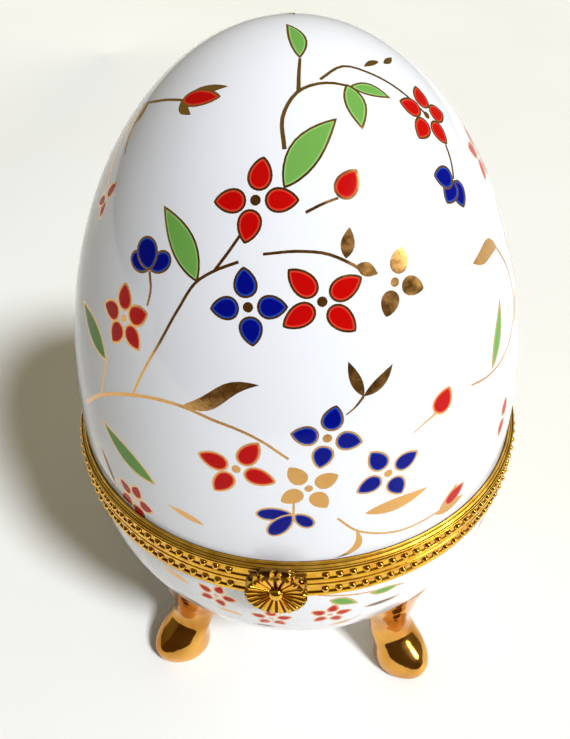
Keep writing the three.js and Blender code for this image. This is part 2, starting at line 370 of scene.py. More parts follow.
def lathe(outline: Sequence[tuple[float, float, Finish]], sides: int, closed: bool) -> Shape:
    """Turns an outline about +Z.

    Args:
        outline: Radius, height and finish of the band that starts at each point.
        sides: Number of sides.
        closed: Whether the last point joins the first. Otherwise both ends are on the axis.

    Returns:
        A closed shape.
    """
    shape = Shape()
    rings = []
    for radius, height, _ in outline:
        if radius < TINY:
            rings.append([len(shape.points)] * sides)
            shape.points.append((0.0, 0.0, height))
            continue
        rings.append(list(range(len(shape.points), len(shape.points) + sides)))
        for i in range(sides):
            turn = 2 * math.pi * i / sides
            shape.points.append((radius * math.cos(turn), radius * math.sin(turn), height))
    pairs = list(zip(rings, rings[1:])) + ([(rings[-1], rings[0])] if closed else [])
    for band, (low, high) in enumerate(pairs):
        for i in range(sides):
            j = (i + 1) % sides
            shape.faces.append(tuple(dict.fromkeys((low[i], low[j], high[j], high[i]))))
            shape.finishes.append(outline[band][2])
    return shape


def in_one(finish: Finish, *outline: tuple[float, float]) -> list[tuple[float, float, Finish]]:
    """An outline for the lathe that has one finish all along."""
    return [(radius, height, finish) for radius, height in outline]


def loft(rings: Sequence[Sequence[tuple[float, float, float]]], finish: Finish) -> Shape:
    """Skins a row of rings with the same number of points and caps both ends.

    Args:
        rings: The rings, from one end to the other.
        finish: Finish of every face.

    Returns:
        A closed shape.
    """
    shape = Shape()
    count = len(rings[0])
    for ring in rings:
        shape.points.extend(tuple(p) for p in ring)
    for k in range(len(rings) - 1):
        for i in range(count):
            j = (i + 1) % count
            a, b = k * count, (k + 1) * count
            shape.faces.append((a + i, a + j, b + j, b + i))
    for ring, flip in ((0, True), (len(rings) - 1, False)):
        centre = len(shape.points)
        shape.points.append(tuple(np.mean(np.array(rings[ring]), axis=0)))
        for i in range(count):
            corners = (ring * count + i, ring * count + (i + 1) % count, centre)
            shape.faces.append(corners[::-1] if flip else corners)
    shape.finishes = [finish] * len(shape.faces)
    return shape


def cubic(t: np.ndarray) -> tuple[np.ndarray, np.ndarray, np.ndarray, np.ndarray]:
    """Weights of the near value, the far value, the near slope and the far slope along a step."""
    return (1 + 2 * t) * (1 - t) ** 2, t * t * (3 - 2 * t), t * (1 - t) ** 2, -(t * t * (1 - t))


def eased(knots: Sequence[float], values: Sequence[float], at: np.ndarray) -> np.ndarray:
    """Smooth values between knots that never swing past them (a monotone cubic).

    Args:
        knots: Rising positions.
        values: Values at the knots.
        at: Positions to read.

    Returns:
        The values there.
    """
    x, y = np.array(knots, float), np.array(values, float)
    step, rise = np.diff(x), np.diff(y)
    slope = rise / step
    lean = np.zeros_like(y)
    lean[0], lean[-1] = slope[0], slope[-1]
    same = slope[:-1] * slope[1:] > 0
    lean[1:-1][same] = 2 * slope[:-1][same] * slope[1:][same] / (slope[:-1] + slope[1:])[same]
    k = np.clip(np.searchsorted(x, at, side="right") - 1, 0, len(step) - 1)
    t = (at - x[k]) / step[k]
    near, far, leave, arrive = cubic(t)
    return near * y[k] + far * y[k + 1] + step[k] * (leave * lean[k] + arrive * lean[k + 1])


# ---------------------------------------------------------------- copies in a ring


class RingOfCopies:
    """Geometry Nodes that set copies of one shape round a circle, turned to face outwards."""

    INPUTS = {
        "Shape": "Object", "Count": "Int", "Radius": "Float", "Height": "Float", "Phase": "Float",
        "Front Gap": "Float", "Back Gap": "Float", "Finish": "Material",
    }

    @classmethod
    def tree(cls) -> bpy.types.NodeTree:
        """Builds the node tree, once.

        Returns:
            The tree.
        """
        name = "copies in a ring"
        if name in bpy.data.node_groups:
            return bpy.data.node_groups[name]
        tree = bpy.data.node_groups.new(name, "GeometryNodeTree")
        tree.interface.new_socket("Geometry", in_out="OUTPUT", socket_type="NodeSocketGeometry")
        for label, kind in cls.INPUTS.items():
            tree.interface.new_socket(label, in_out="INPUT", socket_type="NodeSocket" + kind)
        node = partial(add_node, tree)
        given = node("NodeGroupInput").outputs
        circle = node("GeometryNodeMeshCircle", {"fill_type": "NONE"}, Vertices=given["Count"],
                      Radius=given["Radius"])
        lift = node("ShaderNodeCombineXYZ", Z=given["Height"])
        turn = node("ShaderNodeCombineXYZ", Z=given["Phase"])
        placed = node("GeometryNodeTransform", Geometry=circle, Translation=lift, Rotation=turn)
        axes = node("ShaderNodeSeparateXYZ", Vector=node("GeometryNodeInputPosition")).outputs
        across = node("ShaderNodeMath", {"operation": "ABSOLUTE"}, i0=axes["X"])
        behind = node("ShaderNodeMath", {"operation": "GREATER_THAN", "in:1": 0.0}, i0=axes["Y"])
        gap = node("ShaderNodeMix", {"data_type": "FLOAT"}, Factor=behind, i2=given["Front Gap"],
                   i3=given["Back Gap"])
        clear = node("ShaderNodeMath", {"operation": "GREATER_THAN"}, i0=across, i1=gap)
        angle = node("ShaderNodeMath", {"operation": "ARCTAN2"}, i0=axes["Y"], i1=axes["X"])
        facing = node("ShaderNodeCombineXYZ", Z=angle)
        facing = node("FunctionNodeEulerToRotation", Euler=facing)
        copy = node("GeometryNodeObjectInfo", Object=given["Shape"]).outputs["Geometry"]
        spread = node("GeometryNodeInstanceOnPoints", Points=placed, Selection=clear, Instance=copy,
                      Rotation=facing)
        real = node("GeometryNodeRealizeInstances", Geometry=spread)
        dressed = node("GeometryNodeSetMaterial", Geometry=real, Material=given["Finish"])
        node("NodeGroupOutput", Geometry=dressed)
        return tree

    @classmethod
    def make(cls, shape: Shape, count: int, radius: float, finish: Finish, height: float = 0.0,
             phase_deg: float = 0.0, front_gap: float = -1.0, back_gap: float = -1.0) -> Shape:
        """Sets copies of a shape round a circle.

        Args:
            shape: The copy, which faces +X with its foot at the origin.
            count: Places round the circle.
            radius: Radius of the circle.
            finish: Finish of every copy.
            height: Height of the circle.
            phase_deg: Turn of the first place from +X.
            front_gap: Places nearer the middle of the front than this stay empty.
            back_gap: The same for the back.

        Returns:
            All the copies as one shape.
        """
        source = bpy.data.objects.new("copy", bpy.data.meshes.new("copy"))
        source.data.from_pydata(shape.points, [], shape.faces)
        host = put("ring", bpy.data.meshes.new("ring"))
        modifier = host.modifiers.new("ring", "NODES")
        modifier.node_group = cls.tree()
        values = {
            "Shape": source,
            "Count": count,
            "Radius": float(radius),
            "Height": float(height),
            "Phase": math.radians(phase_deg),
            "Front Gap": float(front_gap),
            "Back Gap": float(back_gap),
            "Finish": finish.material(),
        }
        for item in modifier.node_group.interface.items_tree:
            if item.in_out == "INPUT":
                modifier[item.identifier] = values[item.name]
        depsgraph = bpy.context.evaluated_depsgraph_get()
        mesh = bpy.data.meshes.new_from_object(host.evaluated_get(depsgraph))
        points = [tuple(v.co) for v in mesh.vertices]
        faces = [tuple(p.vertices) for p in mesh.polygons]
        for thing in (host, source):
            bpy.data.objects.remove(thing)
        bpy.data.meshes.remove(mesh)
        return Shape(points, faces, [finish] * len(faces))


# ---------------------------------------------------------------- the egg's skin


class Skin:
    """A turned surface from its pole to its rim, with a map that keeps small shapes true.

    The map lays the surface on a disc: the pole is its middle and the rim its edge. A small figure
    keeps its angles there, so triangles drawn on the disc are well shaped on the porcelain.
    """

    def __init__(self, outline: Sequence[tuple[float, float]]) -> None:
        """Works out the map.

        Args:
            outline: Radius and height of its points, from the pole to the rim.
        """
        self.outline = np.array(outline, float)
        radius = self.outline[:, 0]
        steps = np.hypot(*np.diff(self.outline, axis=0).T)
        self.length = np.concatenate(([0.0], np.cumsum(steps)))
        inner, outer = radius[1:-1], radius[2:]
        change = outer - inner
        level = np.abs(change) < TINY
        sloping = steps[1:] * np.log(outer / inner) / np.where(level, 1, change)
        grow = np.where(level, steps[1:] / outer, sloping)
        left = np.concatenate((np.cumsum(grow[::-1])[::-1], [0.0]))
        self.disc = np.concatenate(([0.0], np.exp(left * -1)))
        slope = np.gradient(self.outline, self.length, axis=0)
        self.normals = np.stack((slope[:, 1], -slope[:, 0]), axis=1)
        self.normals[0] = (0.0, np.sign(self.outline[0, 1] - self.outline[-1, 1]))
        if self.normals[-1, 0] < 0:
            self.normals[1:] *= -1

    def place(self, place: Place) -> np.ndarray:
        """The point at a number of degrees round and a height.

        Args:
            place: Degrees round from the clasp, and millimetres above the seam.

        Returns:
            The point in space.
        """
        height = self.outline[:, 1]
        order = np.argsort(height)
        radius = np.interp(place[1], height[order], self.outline[order, 0])
        turn = math.radians(place[0])
        return np.array((radius * math.sin(turn), -radius * math.cos(turn), place[1]))

    def axes(self, place: Place) -> tuple[np.ndarray, np.ndarray]:
        """Directions along the surface at a place: to the right, and up towards +Z.

        Args:
            place: Degrees round from the clasp, and millimetres above the seam.

        Returns:
            Both directions, each one unit long.
        """
        turn = math.radians(place[0])
        right = np.array((math.cos(turn), math.sin(turn), 0.0))
        a_little = 0.05
        up = self.place((place[0], place[1] + a_little)) - self.place((place[0], place[1] - a_little))
        return right, up / np.linalg.norm(up)

    def to_disc(self, points: np.ndarray) -> np.ndarray:
        """Drops points to the nearest place on the surface and gives their places on the disc.

        Args:
            points: Points in space, one to a row.

        Returns:
            Their places on the disc.
        """
        flat = np.stack((np.hypot(points[:, 0], points[:, 1]), points[:, 2]), axis=1)
        start, run = self.outline[:-1], np.diff(self.outline, axis=0)
        share = np.einsum("nmk,mk->nm", flat[:, None] - start, run) / (run**2).sum(1)
        share = np.clip(share, 0, 1)
        gap = np.linalg.norm(flat[:, None] - (start + share[..., None] * run), axis=2)
        nearest = gap.argmin(1)
        along = share[np.arange(len(flat)), nearest]
        disc = self.disc[nearest] + along * (self.disc[nearest + 1] - self.disc[nearest])
        turn = np.arctan2(points[:, 1], points[:, 0])
        return np.stack((disc * np.cos(turn), disc * np.sin(turn)), axis=1)

    def from_disc(self, flat: np.ndarray) -> tuple[np.ndarray, np.ndarray]:
        """Points on the surface, and their normals, for places on the disc.

        Args:
            flat: Places on the disc, one to a row.

        Returns:
            The points in space, and their normals.
        """
        disc = np.hypot(flat[:, 0], flat[:, 1])
        turn = np.arctan2(flat[:, 1], flat[:, 0])
        length = np.interp(disc, self.disc, self.length)
        radius, height, out, up = (
            np.interp(length, self.length, column)
            for column in (*self.outline.T, *self.normals.T)
        )
        cos, sin = np.cos(turn), np.sin(turn)
        points = np.stack((radius * cos, radius * sin, height), axis=1)
        normals = np.stack((out * cos, out * sin, up), axis=1)
        return points, normals / np.linalg.norm(normals, axis=1, keepdims=True)

    def spread(self, spacing: float) -> np.ndarray:
        """Evenly spaced points all over the surface, short of its rim.

        Args:
            spacing: Distance between neighbours.

        Returns:
            The points in space.
        """
        rows = int(self.length[-1] / spacing)
        fewest = 6
        points = [np.zeros((1, 3)) + (0, 0, self.outline[0, 1])]
        for row in range(1, rows):
            length = self.length[-1] * row / rows
            radius = np.interp(length, self.length, self.outline[:, 0])
            height = np.interp(length, self.length, self.outline[:, 1])
            count = max(fewest, int(2 * math.pi * radius / spacing))
            turn = 2 * math.pi * (np.arange(count) + 0.5 * (row % 2)) / count
            ring = (radius * np.cos(turn), radius * np.sin(turn), np.full(count, height))
            points.append(np.stack(ring, axis=1))
        return np.concatenate(points)


# ---------------------------------------------------------------- decoration

Patch = tuple[np.ndarray, Finish]  # a closed outline and what fills it


def is_anticlockwise(outline: np.ndarray) -> bool:
    """Whether a closed outline keeps its inside on its left."""
    after = np.roll(outline, -1, axis=0)
    return np.sum(outline[:, 0] * after[:, 1] - after[:, 0] * outline[:, 1]) > 0


def inset(outline: np.ndarray, distance: float) -> np.ndarray:
    """Moves a closed outline inwards by an even distance, keeping its points sharp.

    Args:
        outline: The closed outline.
        distance: How far it moves.

    Returns:
        The inner outline.
    """

    def level(steps: np.ndarray) -> np.ndarray:
        """The steps, each made one unit long."""
        return steps / (np.linalg.norm(steps, axis=1, keepdims=True) + 1e-12)

    sharpest = 0.33  # keeps a very sharp point from running away
    first = level(outline - np.roll(outline, 1, axis=0))
    mean = level(first + level(np.roll(outline, -1, axis=0) - outline))
    side = 1.0 if is_anticlockwise(outline) else -1.0
    inwards = side * np.stack((-mean[:, 1], mean[:, 0]), axis=1)
    cosine = np.clip(np.abs(np.sum(mean * first, axis=1)), sharpest, 1)
    return outline + inwards * (distance / cosine)[:, None]


def forwards(outline: np.ndarray) -> np.ndarray:
    """The outline taken anticlockwise, which is the way that encloses its inside."""
    return outline if is_anticlockwise(outline) else outline[::-1]


def encloses(outline: np.ndarray, points: np.ndarray) -> np.ndarray:
    """Numbers of the points that an anticlockwise outline goes round.

    Args:
        outline: The outline.
        points: Points on the disc, one to a row.

    Returns:
        Their numbers.
    """
    low, high = outline.min(axis=0), outline.max(axis=0)
    near = np.flatnonzero(np.all((points > low) & (points < high), axis=1))
    x, y = points[near, :1], points[near, 1:]
    first, second = outline, np.roll(outline, -1, axis=0)
    rises = (first[:, 1] <= y) & (second[:, 1] > y)
    falls = (first[:, 1] > y) & (second[:, 1] <= y)
    run, climb = (second - first).T
    left = run * (y - first[:, 1]) - (x - first[:, 0]) * climb
    winding = (rises & (left > 0)).sum(axis=1) - (falls & (left < 0)).sum(axis=1)
    return near[winding > 0]


def crowded(steps: int) -> np.ndarray:
    """Shares from 0 to 1 that crowd towards both ends."""
    return 0.5 - 0.5 * np.cos(np.linspace(0, np.pi, steps + 1))


def teardrop(start: float, reach: float, half_width: float, blunt: bool) -> np.ndarray:
    """A petal's outline along +Y, round near the heart.

    Args:
        start: Where the round end is.
        reach: Where the tip is.
        half_width: Half of the greatest width.
        blunt: Whether its tip is round too, and not pointed.

    Returns:
        The closed outline, without its first point repeated.
    """
    fullest, round_power = (0.56, 0.64) if blunt else (0.4, 0.5)
    point_power = round_power * (1 - fullest) / fullest
    share = crowded(12)
    width = share**round_power * (1 - share) ** point_power
    width *= half_width / (fullest**round_power * (1 - fullest) ** point_power)
    height = start + share * (reach - start)
    right = np.stack((width, height), axis=1)
    left = right[1:-1][::-1] * (-1, 1)
    return np.concatenate((right, left))


def turned(outline: np.ndarray, degrees: float) -> np.ndarray:
    """Turns an outline clockwise about the origin.

    Args:
        outline: The outline.
        degrees: How far it turns.

    Returns:
        The turned outline.
    """
    cos, sin = math.cos(math.radians(degrees)), math.sin(math.radians(degrees))
    x, y = outline.T
    return np.stack((x * cos + y * sin, y * cos - x * sin), axis=1)


LINE, EDGE = 0.26, 0.17  # widths of the gold line and of the thin enamel inside it


def painted(outline: np.ndarray, paint: Paint) -> list[Patch]:
    """Gold line, thin enamel and full enamel, from the outside in.

    Args:
        outline: The closed outline.
        paint: What it is painted with.

    Returns:
        Its patches, from the lowest to the top one.
    """
    fill, edge = paint.value
    if paint is Paint.GOLD:
        return [(outline, fill)]
    made = [(outline, GOLD_LINE)]
    inner = inset(outline, LINE)
    if edge:
        made.append((inner, edge))
        inner = inset(inner, EDGE)
    made.append((inner, fill))
    return made


def laid(flat: list[Patch], at: np.ndarray, across: np.ndarray, along: np.ndarray) -> list[Patch]:
    """Flat patches laid in space at a point, by their two directions."""
    return [(at + o[:, :1] * across + o[:, 1:] * along, finish) for o, finish in flat]


@dataclass(frozen=True)
class Blossom:
    """An open flower, or a bud whose petals share one root.

    Attributes:
        at: Where its heart is.
        petals: Direction of each petal, in degrees clockwise from upwards.
        reach: Length of each petal from the heart.
        paint: Enamel of the petals.
        heart: Radius of the gold heart, or 0 for a bud.
        half_width: Half the width of a petal.
        blunt: Whether the petals have round tips.
    """

    at: Place
    petals: tuple[float, ...]
    reach: float = 4.9
    paint: Paint = Paint.RED
    heart: float = 0.6
    half_width: float = 1.4
    blunt: bool = False

    def patches(self, skin: Skin) -> list[Patch]:
        """The flower's patches as points in space.

        Args:
            skin: The skin that it lies on.

        Returns:
            Its patches, from the lowest to the top one.
        """
        gap, root = 0.4, 0.15  # from the heart to a petal, and from a bud's root
        petal = teardrop(self.heart + gap if self.heart else root, self.reach, self.half_width, self.blunt)
        flat: list[Patch] = []
        for direction in self.petals:
            flat += painted(turned(petal, direction), self.paint)
        if self.heart:
            angles = np.linspace(0, 2 * np.pi, 13)[:-1]
            flat.append((self.heart * np.stack((np.cos(angles), np.sin(angles)), axis=1), GOLD_LINE))
        return laid(flat, skin.place(self.at), *skin.axes(self.at))


@dataclass(frozen=True)
class Leaf:
    """A pointed leaf from its stalk to its tip.

    Attributes:
        base: Where the stalk joins it.
        tip: Where it ends.
        half_width: Half its greatest width.
        bend: How far its middle bows to the right of the way from base to tip.
        paint: Enamel or gold.
        wave: How far it also swings like an S.
    """

    base: Place
    tip: Place
    half_width: float = 1.2
    bend: float = 0.0
    paint: Paint = Paint.GREEN
    wave: float = 0.0

    def patches(self, skin: Skin) -> list[Patch]:
        """The leaf's patches as points in space.

        Args:
            skin: The skin that it lies on.

        Returns:
            Its patches, from the lowest to the top one.
        """
        first, last = skin.place(self.base), skin.place(self.tip)
        length = np.linalg.norm(last - first)
        outwards = first + last - (0, 0, first[2] + last[2])
        outwards = outwards / np.linalg.norm(outwards) + (0, 0, 0.4 * np.sign(first[2]))
        along = (last - first) / length
        across = np.cross(along, outwards)
        across /= np.linalg.norm(across)
        share = crowded(14)
        half = self.half_width * np.sin(np.pi * share**0.85) ** 0.9  # fullest a little past its middle
        middle = self.bend * 4 * share * (1 - share) + self.wave * np.sin(2 * np.pi * share)
        right = np.stack((middle + half, share * length), axis=1)
        left = np.stack((middle - half, share * length), axis=1)[1:-1][::-1]
        return laid(painted(np.concatenate((right, left)), self.paint), first, across, along)


@dataclass(frozen=True)
class Stem:
    """A gold line drawn through places, thinning to its ends.

    Attributes:
        through: Places that it passes.
        width: Width at the start.
        end: Width at the end.
    """

    through: tuple[Place, ...]
    width: float = 0.5
    end: float = 0.5

    def patches(self, skin: Skin) -> list[Patch]:
        """The stem as one patch in space.

        Args:
            skin: The skin that it lies on.

        Returns:
            Its patches, from the lowest to the top one.
        """
        knots = np.array([skin.place(place) for place in self.through])
        share = np.concatenate(([0.0], np.cumsum(np.linalg.norm(np.diff(knots, axis=0), axis=1))))
        lean = np.gradient(knots, share, axis=0)
        at = np.linspace(0, share[-1], max(6, int(share[-1] / 0.8)))
        k = np.clip(np.searchsorted(share, at, side="right") - 1, 0, len(knots) - 2)
        step = (share[k + 1] - share[k])[:, None]
        near, far, leave, arrive = cubic((at - share[k])[:, None] / step)
        line = near * knots[k] + far * knots[k + 1] + step * (leave * lean[k] + arrive * lean[k + 1])
        surface, normal = skin.from_disc(skin.to_disc(line))
        along = np.gradient(surface, axis=0)
        across = np.cross(along, normal)
        across /= np.linalg.norm(across, axis=1, keepdims=True)
        half = np.linspace(self.width, self.end, len(at))[:, None] / 2
        return [(np.concatenate((surface + across * half, (surface - across * half)[::-1])), GOLD_LINE)]


Figure = Blossom | Leaf | Stem


def turned_round(figures: Iterable[Figure], degrees: float) -> list[Figure]:
    """The same figures further round the egg.

    Args:
        figures: The figures.
        degrees: How far they go, towards +X at the clasp.

    Returns:
        New figures.
    """

    def shift(place: Place) -> Place:
        """The place, further round."""
        return place[0] + degrees, place[1]

    def shifted(figure: Figure) -> Figure:
        """The figure, further round.

        Args:
            figure: The figure.

        Returns:
            Its copy.
        """
        if isinstance(figure, Blossom):
            return replace(figure, at=shift(figure.at))
        if isinstance(figure, Leaf):
            return replace(figure, base=shift(figure.base), tip=shift(figure.tip))
        return replace(figure, through=tuple(shift(place) for place in figure.through))

    return [shifted(figure) for figure in figures]


@dataclass
class PaintedShell:
    """A hollow half of the egg, with its decoration cut into the outer skin as faces.

    Attributes:
        outside: Outline of the outer skin, from its pole to its rim.
        inside: Outline from the rim, over the edge, to the pole of the hollow.
        figures: The decoration, from the lowest layer to the top one.
        spacing: Distance between plain points.
        clear: Share of the spacing that plain points keep from the decoration.
        rim_sides: Sides of the rim.
    """

    outside: list[tuple[float, float]]
    inside: list[tuple[float, float]]
    figures: list[Figure]
    spacing: float = 1.5
    clear: float = 0.35
    rim_sides: int = 160

    def mesh(self, name: str) -> bpy.types.Mesh:
        """Builds the shell as one closed mesh with true normals.

        Args:
            name: The mesh's name.

        Returns:
            The mesh, in metres and in place.
        """
        skin = Skin(self.outside)
        flat, faces, finishes = self._outer_faces(skin)
        points, normals = skin.from_disc(flat)
        facing = 1 if points[0, 2] > 0 else -1
        outer = [face if facing > 0 else face[::-1] for face in faces]
        loop = self._rim(outer)
        shape = Shape([tuple(p) for p in points], outer, finishes)
        normals = [tuple(n) for n in normals]
        self._line_hollow(shape, normals, loop)
        raised = shape.moved(Matrix.Translation((0, 0, SEAM)))
        mesh = raised.mesh(name, recalculate=False, sharp_deg=180)
        mesh.normals_split_custom_set_from_vertices(normals)
        return mesh

    def _outer_faces(self, skin: Skin) -> tuple[np.ndarray, list, list]:
        """Cuts the disc into triangles along the decoration.

        Args:
            skin: The outer skin.

        Returns:
            Points on the disc, the triangles between them, and the finish of each.
        """
        turn = 2 * np.pi * np.arange(self.rim_sides) / self.rim_sides
        rim = np.stack((np.cos(turn), np.sin(turn)), axis=1)
        patches = [(rim, PORCELAIN)]
        for figure in self.figures:
            patches += [(forwards(skin.to_disc(points)), finish) for points, finish in figure.patches(skin)]
        corners = np.concatenate([p for p, _ in patches])
        tree = kdtree.KDTree(len(corners))
        for i, corner in enumerate(skin.from_disc(corners)[0]):
            tree.insert(corner, i)
        tree.balance()
        plain = [p for p in skin.spread(self.spacing) if tree.find(p)[2] > self.spacing * self.clear]
        corners = np.concatenate((corners, skin.to_disc(np.array(plain))))
        edges, first = [], 0
        for outline, _ in patches:
            count = len(outline)
            edges += [(first + i, first + (i + 1) % count) for i in range(count)]
            first += count
        made = delaunay_2d_cdt([Vector(c) for c in corners], edges, [], 0, 1e-7, False)
        flat = np.array(made[0])
        faces = np.array(made[2])
        middles = flat[faces].mean(axis=1)
        top = np.zeros(len(faces), int)
        for layer, (outline, _) in enumerate(patches[1:], 1):
            top[encloses(outline, middles)] = layer
        return flat, [tuple(int(i) for i in face) for face in faces], [patches[layer][1] for layer in top]

    @staticmethod
    def _rim(faces: list) -> list[int]:
        """Points of the rim in order, against the sense of the faces beside it.

        Args:
            faces: Faces of the outer skin.

        Returns:
            Numbers of the rim's points.
        """
        sides = {(face[i], face[(i + 1) % len(face)]) for face in faces for i in range(len(face))}
        following = {a: b for a, b in sides if (b, a) not in sides}
        loop = [next(iter(following))]
        while following[loop[-1]] != loop[0]:
            loop.append(following[loop[-1]])
        return loop

    def _line_hollow(self, shape: Shape, normals: list, loop: list[int]) -> None:
        """Carries the skin over the edge and down the hollow.

        Args:
            shape: The shape so far, which gets the new points and faces.
            normals: Its points' normals, which get the new ones.
            loop: Points of the rim in order.
        """
        count = len(loop)
        turns = [math.atan2(shape.points[i][1], shape.points[i][0]) for i in loop]
        outline = np.array([self.outside[-1], *self.inside], float)
        slope = np.gradient(outline, axis=0)
        facing = np.stack((-slope[:, 1], slope[:, 0]), axis=1)
        facing /= np.linalg.norm(facing, axis=1, keepdims=True)
        if facing[-1, 1] * self.outside[0][1] > 0:
            facing *= -1
        last = loop
        for (radius, height), (out, up) in zip(outline[1:-1], facing[1:-1]):
            ring = list(range(len(shape.points), len(shape.points) + count))
            for turn in turns:
                shape.points.append((radius * math.cos(turn), radius * math.sin(turn), height))
                normals.append((out * math.cos(turn), out * math.sin(turn), up))
            for i in range(count):
                j = (i + 1) % count
                shape.faces.append((last[j], last[i], ring[i], ring[j]))
            last = ring
        pole = len(shape.points)
        shape.points.append((0.0, 0.0, float(outline[-1, 1])))
        normals.append((0.0, 0.0, float(np.sign(facing[-1, 1]))))
        for i in range(count):
            shape.faces.append((last[(i + 1) % count], last[i], pole))
        shape.finishes += [PORCELAIN] * (len(shape.faces) - len(shape.finishes))


# ---------------------------------------------------------------- the painted sprays

RED, BLUE, GREEN, GREY, GOLD = Paint.RED, Paint.BLUE, Paint.GREEN, Paint.GREY, Paint.GOLD

